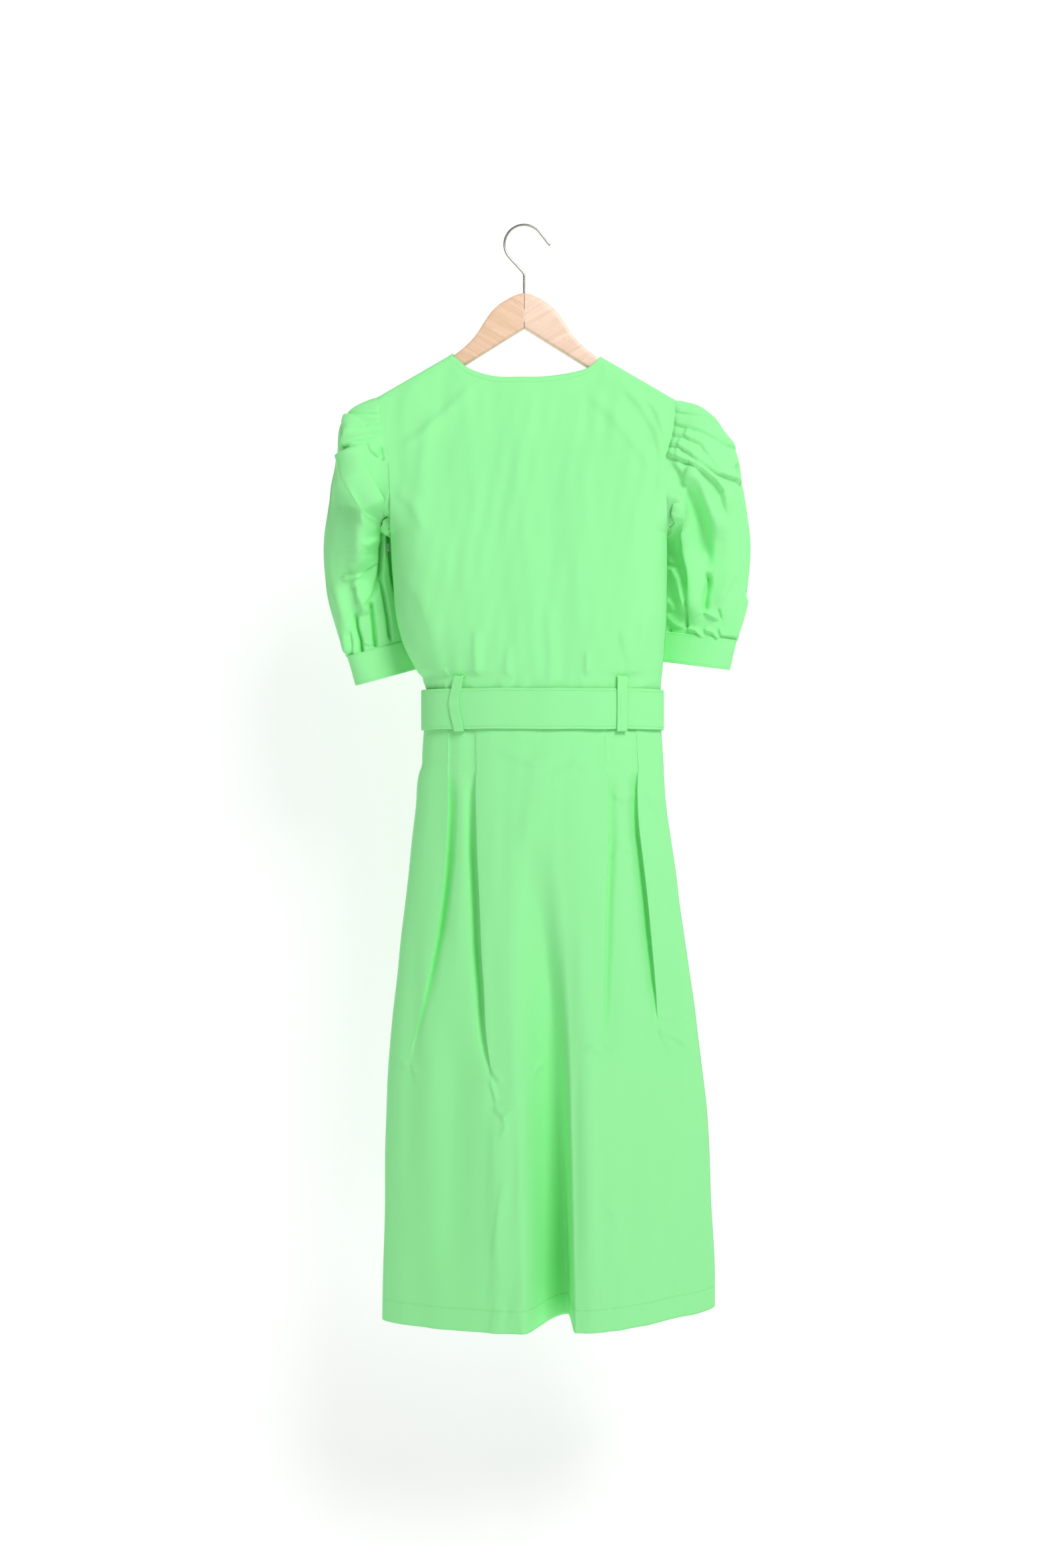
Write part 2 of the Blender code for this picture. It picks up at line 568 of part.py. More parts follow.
def ring(outer, inner, half_depth, inset, sides=16):
    """An oval ring between an outer and an inner end, its depth square to the line between them."""
    outer = np.asarray(outer, dtype=float)
    inner = np.asarray(inner, dtype=float)
    centre = (outer + inner) / 2
    long = (outer - inner) / 2
    reach = np.linalg.norm(long)
    across = np.array([0.0, 1.0, 0.0]) - long * long[1] / reach ** 2
    across /= np.linalg.norm(across)
    turn = np.arange(sides) * 2 * pi / sides
    return (centre + long * ((reach - inset) / reach) * np.cos(turn)[:, None]
            + across * (half_depth - inset) * np.sin(turn)[:, None])


def armhole_ring(side, inset, sides=16):
    """The armhole's own edge, a clearance outside the bodice panels."""
    turn = np.arange(sides) * 2 * pi / sides
    centre = (armhole_top(side) + UNDERARM) / 2
    half = (armhole_top(side) - UNDERARM) / 2 - inset
    z = centre + half * np.cos(turn)
    edge_x = left_x(z) if side < 0 else right_x(z)
    opening = depth(z) * np.sqrt(np.clip(1 - along(CLOSING, z), 0, 1))
    y = np.sign(np.sin(turn)) * np.minimum(opening, 40.0 * np.abs(np.sin(turn))) * (1 - inset / 24.0)
    y = np.where(np.abs(np.sin(turn)) < 1e-9, 0.0, y)
    return np.stack([edge_x + side * 2 * GAP, y, z], axis=-1)


def sleeve_rings(side, inset):
    """Rings of the sleeve from the armhole to the cuff."""
    table = LEFT_RINGS if side < 0 else RIGHT_RINGS
    start, inward, _ = LEFT_CUFF if side < 0 else RIGHT_CUFF
    rings = [armhole_ring(side, inset)]
    for out, out_share, out_z, past, in_share, in_z, half in table:
        seam = float(left_x(in_z)) if side < 0 else float(right_x(in_z))
        outer = (side * (HANGER_REACH + out), out_share * SLEEVE_FORWARD, out_z)
        rings.append(ring(outer, (seam - side * past, in_share * SLEEVE_FORWARD, in_z), half, inset))
    rings.append(cuff_ring(side, 0.0, inset, 0.0))
    return np.stack(rings)


def cuff_ring(side, share, inset, drop):
    """Ring of the cuff, share of the way down it."""
    start, inward, down = LEFT_CUFF if side < 0 else RIGHT_CUFF
    length = sqrt(down[0] ** 2 + down[1] ** 2)
    way = share * CUFF_DEPTH + drop
    move = (-side * down[0] / length * way, down[1] / length * way)
    outer = (side * (HANGER_REACH + start[0]) + move[0], 0.34 * SLEEVE_FORWARD, start[1] + move[1])
    inner = (outer[0] - side * abs(inward[0]), 1.1 * SLEEVE_FORWARD, outer[2] + inward[1])
    return ring(outer, inner, CUFF_HALF, inset)


def make_sleeve(side, word):
    """A puffed sleeve and the cuff below it."""
    shell(word + "_sleeve", sleeve_rings(side, 0.0), sleeve_rings(side, CLOTH), "dress_cotton", wrap=True)
    drops = [(0.0, GAP * 1.5), (0.5, GAP), (1.0, 0.0)]
    outer = np.stack([cuff_ring(side, share, 0.0, drop) for share, drop in drops])
    inner = np.stack([cuff_ring(side, share, CLOTH + 0.4, drop) for share, drop in drops])
    shell(word + "_cuff", outer, inner, "dress_cotton", wrap=True)


# ---------------------------------------------------------------- belt
WAIST_MID = (WAIST_LEFT + WAIST_RIGHT) / 2
WAIST_HALF = (WAIST_RIGHT - WAIST_LEFT) / 2


def waist_point(angle, offset):
    """Plan position at an angle round the waist oval, offset outwards."""
    return (WAIST_MID + (WAIST_HALF + offset) * cos(angle), (WAIST_DEPTH + offset) * sin(angle))


def front_point(run, offset):
    """Plan position at the front, run to the right of the buckle's middle."""
    x = run / WAIST_HALF
    y = WAIST_DEPTH * sqrt(1 - x * x)
    tilt = atan2(WAIST_DEPTH * x, WAIST_HALF * sqrt(1 - x * x))
    return (WAIST_MID + run + offset * sin(tilt), y + offset * cos(tilt))


def front_angle(run):
    return atan2(sqrt(1 - (run / WAIST_HALF) ** 2), run / WAIST_HALF)


FIRST = BELT_STAND + BELT_T / 2                       # middle of the belt's inner layer
FOLD_R = BUCKLE_WIRE / 2 + FOLD_PLAY + BELT_T / 2
FRAME_OFFSET = FIRST + FOLD_R
LAYER = BELT_T + 0.5


def belt_path():
    """Middle line of the belt in plan: end folded on the buckle, once round, tongue over the end."""
    path = [front_point(run, FIRST) for run in (46.0, 34.0, BUCKLE_HALF + 5.0)]
    centre = front_point(BUCKLE_HALF, FRAME_OFFSET)
    for angle in np.linspace(-pi / 2, -1.5 * pi, 9):
        path.append((centre[0] + FOLD_R * cos(angle), centre[1] + FOLD_R * sin(angle)))
    path.append(front_point(BUCKLE_HALF + 16.0, FIRST + LAYER))
    path.append(front_point(46.0, FIRST + LAYER))
    path.append(front_point(62.0, FIRST))
    start = front_angle(74.0)
    end = front_angle(-60.0) - 2 * pi
    path += [waist_point(angle, FIRST) for angle in np.linspace(start, end, 44)]
    for run, offset in ((-45.0, FIRST), (-30.0, FIRST), (-12.0, FIRST), (0.0, FIRST + 3.2),
                        (10.0, FRAME_OFFSET + FOLD_R + LAYER - 0.6), (14.0, FRAME_OFFSET + FOLD_R + LAYER),
                        (22.0, FRAME_OFFSET + FOLD_R + LAYER), (BUCKLE_HALF + 17.0, FIRST + 2 * LAYER),
                        (47.0, FIRST + 2 * LAYER), (63.0, FIRST + LAYER), (78.0, FIRST + LAYER),
                        (BELT_OVERLAP - 8.0, FIRST + LAYER), (BELT_OVERLAP, FIRST + LAYER)):
        path.append(front_point(run, offset))
    return np.array(path)


def make_belt():
    """The belt is its plan path given a thickness and extruded to its height."""
    path = belt_path()
    ahead = np.gradient(path, axis=0)
    ahead /= np.linalg.norm(ahead, axis=1)[:, None]
    side = np.stack([-ahead[:, 1], ahead[:, 0]], axis=1) * BELT_T / 2
    count = len(path)
    high, low = BELT_TOP, BELT_TOP - BELT_H
    corners = []
    for z in (low, high):
        corners.append(np.column_stack([path + side, np.full(count, z)]))
        corners.append(np.column_stack([path - side, np.full(count, z)]))
    points = np.concatenate(corners)
    faces = []
    for i in range(count - 1):
        j = i + 1
        for a, b in ((0, 1), (1, 3), (3, 2), (2, 0)):
            faces.append([a * count + i, a * count + j, b * count + j, b * count + i])
    for i in (0, count - 1):
        faces.append([i, count + i, 3 * count + i, 2 * count + i])
    add("belt", points, faces, "dress_cotton")


def on_waist(angle, outline_offset):
    """Local frame on the waist: position, direction along it and direction outwards."""
    x, y = waist_point(angle, outline_offset)
    ahead = np.array([-(WAIST_HALF + outline_offset) * sin(angle), (WAIST_DEPTH + outline_offset) * cos(angle)])
    ahead /= np.linalg.norm(ahead)
    out = np.array([ahead[1], -ahead[0]])
    return np.array([x, y]), ahead, out


def make_loop(name, angle):
    """A belt loop: a flat C that holds the belt to the dress, its ends sewn on above and below."""
    foot, ahead, out = on_waist(angle, 0.0)
    far = BELT_STAND + BELT_T + 0.7
    top = BELT_TOP + LOOP_ABOVE
    low = BELT_TOP - BELT_H - 1.5
    outline = [(LOOP_FOOT, top), (far + LOOP_T, top), (far + LOOP_T, low - LOOP_T), (LOOP_FOOT, low - LOOP_T),
               (LOOP_FOOT, low), (far, low), (far, top - LOOP_T), (LOOP_FOOT, top - LOOP_T)]

    def place(n, z, s):
        spot = foot + out * n + ahead * s
        return (spot[0], spot[1], z)

    prism(name, outline, -LOOP_W / 2, LOOP_W / 2, "dress_cotton", place)


def make_buckle():
    """A wire frame that turns on the member the belt's end is folded round."""
    axis = front_point(BUCKLE_HALF, FRAME_OFFSET)
    half_h = BELT_H / 2 + 2.0 + BUCKLE_WIRE / 2
    corner = 4.0
    mid_z = BELT_TOP - BELT_H / 2
    path = []
    half_w = axis[0] - WAIST_MID
    for cx, cz, first in ((1, 1, 0.0), (-1, 1, pi / 2), (-1, -1, pi), (1, -1, 1.5 * pi)):
        for angle in np.linspace(first, first + pi / 2, 4):
            path.append((WAIST_MID + cx * (half_w - corner) + corner * cos(angle), axis[1],
                         mid_z + cz * (half_h - corner) + corner * sin(angle)))
    tube("buckle_frame", path, BUCKLE_WIRE / 2, "dress_cotton", sides=8, closed=True,
         origin=(axis[0], axis[1], mid_z))


def make_keeper():
    """A closed loop round both layers of the belt, past the buckle."""
    angle = front_angle(75.0)
    foot, ahead, out = on_waist(angle, 0.0)
    near, far = 0.9, BELT_STAND + BELT_T + LAYER + 0.6
    top = BELT_TOP + 0.8
    low = BELT_TOP - BELT_H - 0.8
    wall = 0.9
    outer = [(near, low - wall), (far + wall, low - wall), (far + wall, top + wall), (near, top + wall)]
    inner = [(near + wall, low), (far, low), (far, top), (near + wall, top)]
    points = []
    for s in (-KEEPER_W / 2, KEEPER_W / 2):
        for outline in (outer, inner):
            for n, z in outline:
                spot = foot + out * n + ahead * s
                points.append((spot[0], spot[1], z))
    faces = []
    for i in range(4):
        j = (i + 1) % 4
        faces.append([i, j, 8 + j, 8 + i])
        faces.append([4 + i, 4 + j, 12 + j, 12 + i])
        faces.append([i, j, 4 + j, 4 + i])
        faces.append([8 + i, 8 + j, 12 + j, 12 + i])
    add("belt_keeper", points, faces, "dress_cotton")


def make_labels():
    """Blank woven labels: one at the back of the neck, one in the right side seam."""
    centre = (NECK_LEFT + NECK_RIGHT) / 2
    wall = -(SHOULDER_DEPTH - CLOTH - BACK_FACING_STAND - FACING - GAP - 0.2)
    high = NECK_SHOULDER - BACK_NECK_DROP - 3.0
    block("neck_label", (centre - 20, wall, high - 14), (centre + 20, wall + 0.6, high), "label_cloth")
    top = WAIST - 95.0
    edge = float(right_x(top)) - CLOTH - 1.5
    block("care_label", (edge - 26, -0.4, top - 55), (edge - 0.2, 0.4, top), "label_cloth")


def main():
    for old in list(bpy.data.objects):
        bpy.data.objects.remove(old, do_unlink=True)
    make_hook()
    make_hanger()
    for word, facing in (("back", -1), ("front", 1)):
        make_bodice(word + "_bodice", facing)
        make_neck_facing("neck_facing_" + word, facing)
        make_skirt(word + "_skirt", facing)
    make_zip()
    make_sleeve(-1, "left")
    make_sleeve(1, "right")
    make_belt()
    for name, run in (("belt_loop_back_left", -101.0), ("belt_loop_back_right", 95.0)):
        make_loop(name, -front_angle(run))
    for name, run in (("belt_loop_front_left", -101.0), ("belt_loop_front_right", 110.0)):
        make_loop(name, front_angle(run))
    make_buckle()
    make_keeper()
    make_labels()


main()
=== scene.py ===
from math import cos, pi, radians, sin

import bmesh
import bpy
import numpy as np
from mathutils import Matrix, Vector


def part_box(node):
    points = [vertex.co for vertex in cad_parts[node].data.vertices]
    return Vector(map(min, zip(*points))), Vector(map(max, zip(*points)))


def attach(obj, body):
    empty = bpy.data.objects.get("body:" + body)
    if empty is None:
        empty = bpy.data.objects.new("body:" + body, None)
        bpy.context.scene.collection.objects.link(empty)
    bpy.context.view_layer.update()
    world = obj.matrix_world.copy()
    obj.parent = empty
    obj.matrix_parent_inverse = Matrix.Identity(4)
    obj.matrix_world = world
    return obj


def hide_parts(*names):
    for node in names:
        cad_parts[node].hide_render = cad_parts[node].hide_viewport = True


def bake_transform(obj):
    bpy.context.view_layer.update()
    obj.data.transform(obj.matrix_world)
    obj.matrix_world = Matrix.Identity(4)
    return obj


bl_info = {
    "name": "Puff-Sleeve Dress on a Hanger",
    "version": (1, 0, 0),
    "blender": (4, 5, 0),
    "location": "View3D > Sidebar > Dress",
    "description": "Builds a belted cotton dress with pleated puff sleeves on a wooden hanger",
    "category": "Add Mesh",
}

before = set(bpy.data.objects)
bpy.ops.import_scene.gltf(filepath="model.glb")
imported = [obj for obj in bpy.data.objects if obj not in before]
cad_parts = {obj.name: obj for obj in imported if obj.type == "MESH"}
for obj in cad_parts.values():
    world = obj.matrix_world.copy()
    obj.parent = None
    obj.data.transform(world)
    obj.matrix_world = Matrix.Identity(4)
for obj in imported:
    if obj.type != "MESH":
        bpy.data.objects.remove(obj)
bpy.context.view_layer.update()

MM = 0.001                       # the surfaces below are worked out in millimetres
VIEW_DISTANCE = 2400.0           # camera to the hook's plane
VIEW_X, VIEW_HEIGHT = -2.0, -695.0
SEAM = -603.0                    # height where bodice and skirt meet, behind the belt
HEM_SHRINK = 0.966               # the back of the skirt is nearer: its heights, measured in the hook's plane


def corner_mm(node):
    """Lowest and highest corner of a CAD node in millimetres."""
    low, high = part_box(node)
    return np.array(low) / MM, np.array(high) / MM


# ---------------------------------------------------------------- places from the frame
SKIRT_LOW = corner_mm("back_skirt")[0]
BODICE_LOW = corner_mm("back_bodice")[0]
BELT_LOW, BELT_HIGH = corner_mm("belt")
WOOD_HIGH = corner_mm("hanger_right_half")[1]
HEM = SKIRT_LOW[2]
BELT_TOP, BELT_BOTTOM = BELT_HIGH[2], BELT_LOW[2]
BELT_OUTSIDE = 3.6               # the belt's outer face off the waist
WAIST_LEFT, WAIST_RIGHT = BELT_LOW[0] + BELT_OUTSIDE, BELT_HIGH[0] - BELT_OUTSIDE
WAIST_DEPTH = -BODICE_LOW[1]
WOOD_TOP = WOOD_HIGH[2]
WOOD_REACH = WOOD_HIGH[0]
WOOD_HALF = WOOD_HIGH[1]
HOOK_CENTRE = -23.0
HOOK_ROUND = 24.5


# ---------------------------------------------------------------- sizes and colours
class DressSizes(bpy.types.PropertyGroup):
    """Sizes that change how the cloth looks without moving a CAD part."""
    cloth: bpy.props.FloatProperty(name="Cloth", description="Thickness of the cotton",
                                   default=0.0006, unit="LENGTH")
    hem: bpy.props.FloatProperty(name="Hem", description="Depth of the stitched hem",
                                 default=0.026, unit="LENGTH")
    pleat: bpy.props.FloatProperty(name="Pleat depth", description="How far the skirt's pleats open inwards",
                                   default=0.013, unit="LENGTH")
    valley: bpy.props.FloatProperty(name="Hem valley", description="Depth of the large fold at the hem",
                                    default=0.072, unit="LENGTH")
    stitch: bpy.props.FloatProperty(name="Stitch", description="Length of one stitch",
                                    default=0.0026, unit="LENGTH")
    thread: bpy.props.FloatProperty(name="Thread", description="Thickness of the sewing thread",
                                    default=0.00045, unit="LENGTH")


class DressColours(bpy.types.PropertyGroup):
    """Colours of the finishes."""
    cotton: bpy.props.FloatVectorProperty(name="Cotton", description="Colour of the dress",
                                          subtype="COLOR", size=3, default=(0.275, 0.86, 0.305))
    thread: bpy.props.FloatVectorProperty(name="Thread", description="Colour of the stitching",
                                          subtype="COLOR", size=3, default=(0.40, 0.93, 0.42))
    wood_left: bpy.props.FloatVectorProperty(name="Left wood", description="Left half of the hanger",
                                             subtype="COLOR", size=3, default=(0.86, 0.60, 0.42))
    wood_right: bpy.props.FloatVectorProperty(name="Right wood", description="Right half of the hanger",
                                              subtype="COLOR", size=3, default=(0.93, 0.69, 0.54))
    steel: bpy.props.FloatVectorProperty(name="Hook", description="Nickel of the hook", subtype="COLOR",
                                         size=3, default=(0.42, 0.41, 0.37))
    wall: bpy.props.FloatVectorProperty(name="Backdrop", description="Wall and floor", subtype="COLOR",
                                        size=3, default=(0.93, 0.93, 0.93))


# ---------------------------------------------------------------- number helpers
def hermite(t):
    """Weights of a smooth curve's start, start slope, end and end slope, at a share of the way."""
    return (1 + 2 * t) * (1 - t) ** 2, t * (1 - t) ** 2, t * t * (3 - 2 * t), t * t * (t - 1)


def unit(vectors):
    """Vectors of length 1 with the same headings."""
    return vectors / np.maximum(np.linalg.norm(vectors, axis=-1, keepdims=True), 1e-9)


def travelled(path):
    """Distance along a path at each of its points."""
    return np.concatenate([[0], np.cumsum(np.linalg.norm(np.diff(path, axis=0), axis=1))])


def smooth(table, at):
    """Read (place, value) rows at a place: a smooth curve with a slope taken from each row's neighbours."""
    rows = sorted(table)
    xs = np.array([r[0] for r in rows], float)
    ys = np.array([r[1] for r in rows], float)
    slope = np.gradient(ys, xs)
    at = np.clip(np.asarray(at, float), xs[0], xs[-1])
    i = np.clip(np.searchsorted(xs, at) - 1, 0, len(xs) - 2)
    h = xs[i + 1] - xs[i]
    a, b, c, d = hermite((at - xs[i]) / h)
    return a * ys[i] + b * h * slope[i] + c * ys[i + 1] + d * h * slope[i + 1]


def ease(t):
    """0 below 0, 1 above 1, and a smooth S between."""
    t = np.clip(t, 0, 1)
    return t * t * (3 - 2 * t)


def ripple(a, b, long_a, long_b, seed, waves=9):
    """Smooth uneven waves from -1 to 1: a sum of sines of random heading, about long_a by long_b apart."""
    rng = np.random.RandomState(seed)
    total = np.zeros(np.broadcast(a, b).shape)
    for _ in range(waves):
        fa = rng.uniform(0.4, 1.5) * rng.choice([-1, 1]) * 2 * pi / long_a
        fb = rng.uniform(0.2, 1.5) * 2 * pi / long_b
        total = total + rng.uniform(0.5, 1.0) * np.sin(fa * a + fb * b + rng.uniform(0, 2 * pi))
    return total / (0.62 * waves) ** 0.5 / 1.6


def crease(x, z, path, height, soft, steep, start_fade=0.22, end_fade=0.3):
    """A fold along a path of (x, z) points: it rises gently from one side, over `soft` millimetres, and
    falls off within `steep` on the other, the right-hand side as the path runs. It fades in and out over
    a share of its length at each end."""
    path = np.asarray(path, float)
    best = np.full(x.shape, 1e9)
    side = np.zeros(x.shape)
    along = np.zeros(x.shape)
    start = travelled(path)
    lengths = np.diff(start)
    for (x0, z0), (x1, z1), run, size in zip(path[:-1], path[1:], start[:-1], lengths):
        ux, uz = (x1 - x0) / size, (z1 - z0) / size
        t = np.clip((x - x0) * ux + (z - z0) * uz, 0, size)
        dx, dz = x - (x0 + t * ux), z - (z0 + t * uz)
        gap = np.hypot(dx, dz)
        nearer = gap < best
        best = np.where(nearer, gap, best)
        side = np.where(nearer, dx * uz - dz * ux, side)
        along = np.where(nearer, run + t, along)
    width = np.where(side > 0, steep, soft)
    whole = start[-1]
    fade_in = ease(along / (start_fade * whole) + 0.02)
    fade_out = ease((whole - along) / (end_fade * whole) + 0.02)
    return height * np.exp(-(best / width) ** 2) * (fade_in * fade_out)


def creases(x, z, rows):
    """The sum of several folds, each (path, height, soft side, steep side) and, if given, its fades."""
    total = np.zeros(np.broadcast(x, z).shape)
    for row in rows:
        total = total + crease(x, z, *row)
    return total


def normals_of(points, wrap):
    """Unit normal at each point of a grid, from its neighbours along both parameters."""
    if wrap:
        across = np.roll(points, -1, axis=1) - np.roll(points, 1, axis=1)
    else:
        across = np.gradient(points, axis=1)
    down = np.gradient(points, axis=0)
    return unit(np.cross(across, down))


# ---------------------------------------------------------------- mesh helpers
def grid_object(name, points, finish, wrap=False, outwards=None, thickness=0.0, caps=False):
    """A mesh from a grid of points in millimetres, rows by columns, its faces turned outwards.
    outwards is a direction, or None for away from each row's middle. UVs are metres along the cloth."""
    rows, cols = points.shape[:2]
    spans = cols if wrap else cols - 1
    r = np.arange(rows - 1)[:, None]
    c = np.arange(spans)[None, :]
    d = (c + 1) % cols
    quads = np.stack([r * cols + c, r * cols + d, (r + 1) * cols + d, (r + 1) * cols + c], axis=-1)
    if outwards is None:
        reference = points - points.mean(axis=1, keepdims=True)
    else:
        reference = np.broadcast_to(np.asarray(outwards, float), points.shape)
    facing = (normals_of(points, wrap) * reference).sum()
    flip = facing < 0
    quads = quads.reshape(-1, 4)
    if flip:
        quads = quads[:, ::-1]
    step_u = np.linalg.norm(np.diff(points, axis=1), axis=-1).mean(axis=0)
    step_v = np.linalg.norm(np.diff(points, axis=0), axis=-1).mean(axis=1)
    if wrap:
        last = np.linalg.norm(points[:, 0] - points[:, -1], axis=-1).mean()
        step_u = np.concatenate([step_u, [last]])
    along_u = np.concatenate([[0], np.cumsum(step_u)]) * MM
    along_v = np.concatenate([[0], np.cumsum(step_v)]) * MM
    across = np.stack([along_u[:-1], along_u[1:], along_u[1:], along_u[:-1]], axis=-1)
    down = np.stack([along_v[:-1], along_v[:-1], along_v[1:], along_v[1:]], axis=-1)
    corner_u = np.broadcast_to(across[None, :, :], (rows - 1, spans, 4)).reshape(-1, 4)
    corner_v = np.broadcast_to(down[:, None, :], (rows - 1, spans, 4)).reshape(-1, 4)
    if flip:
        corner_u, corner_v = corner_u[:, ::-1], corner_v[:, ::-1]
    mesh = bpy.data.meshes.new(name)
    mesh.vertices.add(rows * cols)
    mesh.vertices.foreach_set("co", (points.reshape(-1, 3) * MM).astype(np.float32).ravel())
    mesh.loops.add(quads.size)
    mesh.loops.foreach_set("vertex_index", quads.ravel().astype(np.int32))
    mesh.polygons.add(len(quads))
    mesh.polygons.foreach_set("loop_start", np.arange(0, quads.size, 4, dtype=np.int32))
    mesh.update(calc_edges=True)
    layer = mesh.uv_layers.new(name="cloth")
    layer.data.foreach_set("uv", np.stack([corner_u, corner_v], -1).astype(np.float32).ravel())
    if caps:
        close_ends(mesh, rows, cols, flip)
    mesh.shade_smooth()
    made = bpy.data.objects.new(name, mesh)
    bpy.context.scene.collection.objects.link(made)
    made.data.materials.append(finish)
    if thickness:
        wall = made.modifiers.new("thickness", "SOLIDIFY")
        wall.thickness = thickness * MM
        wall.offset = -1.0
        wall.use_even_offset = False
    return made


def close_ends(mesh, rows, cols, flip):
    """Fill both end rings of a wrapped grid."""
    work = bmesh.new()
    work.from_mesh(mesh)
    work.verts.ensure_lookup_table()
    first = [work.verts[i] for i in range(cols)]
    last = [work.verts[(rows - 1) * cols + i] for i in range(cols)]
    if not flip:
        first.reverse()
    else:
        last.reverse()
    work.faces.new(first)
    work.faces.new(last)
    work.to_mesh(mesh)
    work.free()


def tube(path, radius, sides=16, closed=False):
    """Grid of points of a round section carried along a path: two axes square to the path's direction."""
    path = np.asarray(path, float)
    if closed:
        ahead = np.roll(path, -1, axis=0) - np.roll(path, 1, axis=0)
    else:
        ahead = np.gradient(path, axis=0)
    flat = np.linalg.svd(path - path.mean(axis=0))[2][2]
    across = unit(np.cross(unit(ahead), flat))
    turn = np.arange(sides) * 2 * pi / sides
    radius = np.broadcast_to(np.asarray(radius, float), (len(path),))
    ring = across[:, None, :] * np.cos(turn)[None, :, None] + flat * np.sin(turn)[None, :, None]
    points = path[:, None, :] + ring * radius[:, None, None]
    return np.concatenate([points, points[:1]]) if closed else points


def resample(path, step):
    """Points a step apart along a smooth curve through the given points."""
    path = np.asarray(path, float)
    run = travelled(path)
    at = np.linspace(0, run[-1], max(3, int(run[-1] / step) + 1))
    return np.stack([smooth(list(zip(run, path[:, k])), at) for k in range(path.shape[1])], axis=1)


def stitches(name, path, normal, finish):
    """A row of sewn stitches: short six-sided threads, fat in the middle, each along the path and
    standing half out of the cloth."""
    sizes = bpy.context.scene.dress_sizes
    pitch = (sizes.stitch + 0.0007) / MM
    path = np.asarray(path, float)
    run = travelled(path)
    starts = np.arange(pitch / 2, run[-1] - pitch, pitch)
    normal = np.broadcast_to(np.asarray(normal, float), path.shape)

    def at(distance, values):
        return np.stack([np.interp(distance, run, values[:, k]) for k in range(3)], axis=-1)

    shares = np.array([0.0, 0.18, 0.5, 0.82, 1.0])
    fat = np.array([0.15, 0.8, 1.0, 0.8, 0.15])
    where = starts[:, None] + shares[None, :] * sizes.stitch / MM
    centre = at(where, path)
    up = unit(at(where, normal))
    ahead = unit(at(where + 0.4, path) - at(where - 0.4, path))
    across = np.cross(ahead, up)
    sides = 6
    turn = np.arange(sides) * 2 * pi / sides
    half = sizes.thread / MM / 2
    ring = across[..., None, :] * np.cos(turn)[:, None] + up[..., None, :] * np.sin(turn)[:, None]
    points = centre[..., None, :] + up[..., None, :] * half * 0.5 + ring * (fat[None, :, None, None] * half)
    count = len(starts)
    base = (np.arange(count) * 5 * sides)[:, None, None, None]
    r = np.arange(4)[None, :, None, None]
    c = np.arange(sides)[None, None, :, None]
    d = (c + 1) % sides
    quads = np.concatenate([base + r * sides + c, base + (r + 1) * sides + c,
                            base + (r + 1) * sides + d, base + r * sides + d], axis=-1).reshape(-1, 4)
    ends = np.concatenate([base.reshape(-1, 1) + np.arange(sides)[None, :],
                           base.reshape(-1, 1) + 4 * sides + np.arange(sides)[None, ::-1]])
    mesh = bpy.data.meshes.new(name)
    mesh.from_pydata((points.reshape(-1, 3) * MM).tolist(), [], quads.tolist() + ends.tolist())
    mesh.shade_smooth()
    made = bpy.data.objects.new(name, mesh)
    bpy.context.scene.collection.objects.link(made)
    made.data.materials.append(finish)
    return made


# ---------------------------------------------------------------- materials
def new_material(name, slot_colour, roughness, metallic=0.0):
    """A Principled material and its node tree, with its plain values on the shader's sockets."""
    made = bpy.data.materials.get(name)
    if made:
        return made, None, None
    made = bpy.data.materials.new(name)
    made.use_nodes = True
    tree = made.node_tree
    shader = tree.nodes["Principled BSDF"]
    shader.inputs["Base Color"].default_value = (*slot_colour, 1.0)
    shader.inputs["Roughness"].default_value = roughness
    shader.inputs["Metallic"].default_value = metallic
    return made, tree, shader


def node(tree, kind, **values):
    """A node with its inputs set by name."""
    made = tree.nodes.new(kind)
    for key, value in values.items():
        if key in made.inputs:
            made.inputs[key].default_value = value
        else:
            setattr(made, key, value)
    return made


def texture(tree, kind, source, **values):
    """A texture read at the places that come from `source`; its grey value."""
    made = node(tree, kind, **values)
    tree.links.new(source, made.inputs["Vector"])
    return made.outputs["Fac"]


def noise(tree, source, **values):
    """Cloudy noise."""
    return texture(tree, "ShaderNodeTexNoise", source, **values)


def bands(tree, source, scale, distortion, way):
    """Waves across one direction."""
    return texture(tree, "ShaderNodeTexWave", source, Scale=scale, Distortion=distortion, bands_direction=way)


def mapped(tree, source, **values):
    """Places turned or stretched before a texture reads them."""
    made = node(tree, "ShaderNodeMapping", **values)
    tree.links.new(source, made.inputs["Vector"])
    return made.outputs["Vector"]


def maths(tree, operation, *values):
    """A sum or product of sockets and numbers."""
    made = node(tree, "ShaderNodeMath", operation=operation)
    for place, value in zip(made.inputs, values):
        if isinstance(value, float):
            place.default_value = value
        else:
            tree.links.new(value, place)
    return made.outputs[0]


def ramp(tree, source, low, high, starts=0.0, ends=1.0):
    """A grey value turned into a colour between two stops."""
    made = node(tree, "ShaderNodeValToRGB")
    for stop, place, colour in zip(made.color_ramp.elements, (starts, ends), (low, high)):
        stop.position = place
        stop.color = (*np.clip(colour, 0, 1), 1.0)
    tree.links.new(source, made.inputs["Fac"])
    return made.outputs["Color"]


def spread(tree, source, low, high):
    """A grey value stretched between two numbers."""
    made = node(tree, "ShaderNodeMapRange", **{"To Min": low, "To Max": high})
    tree.links.new(source, made.inputs["Value"])
    return made.outputs["Result"]


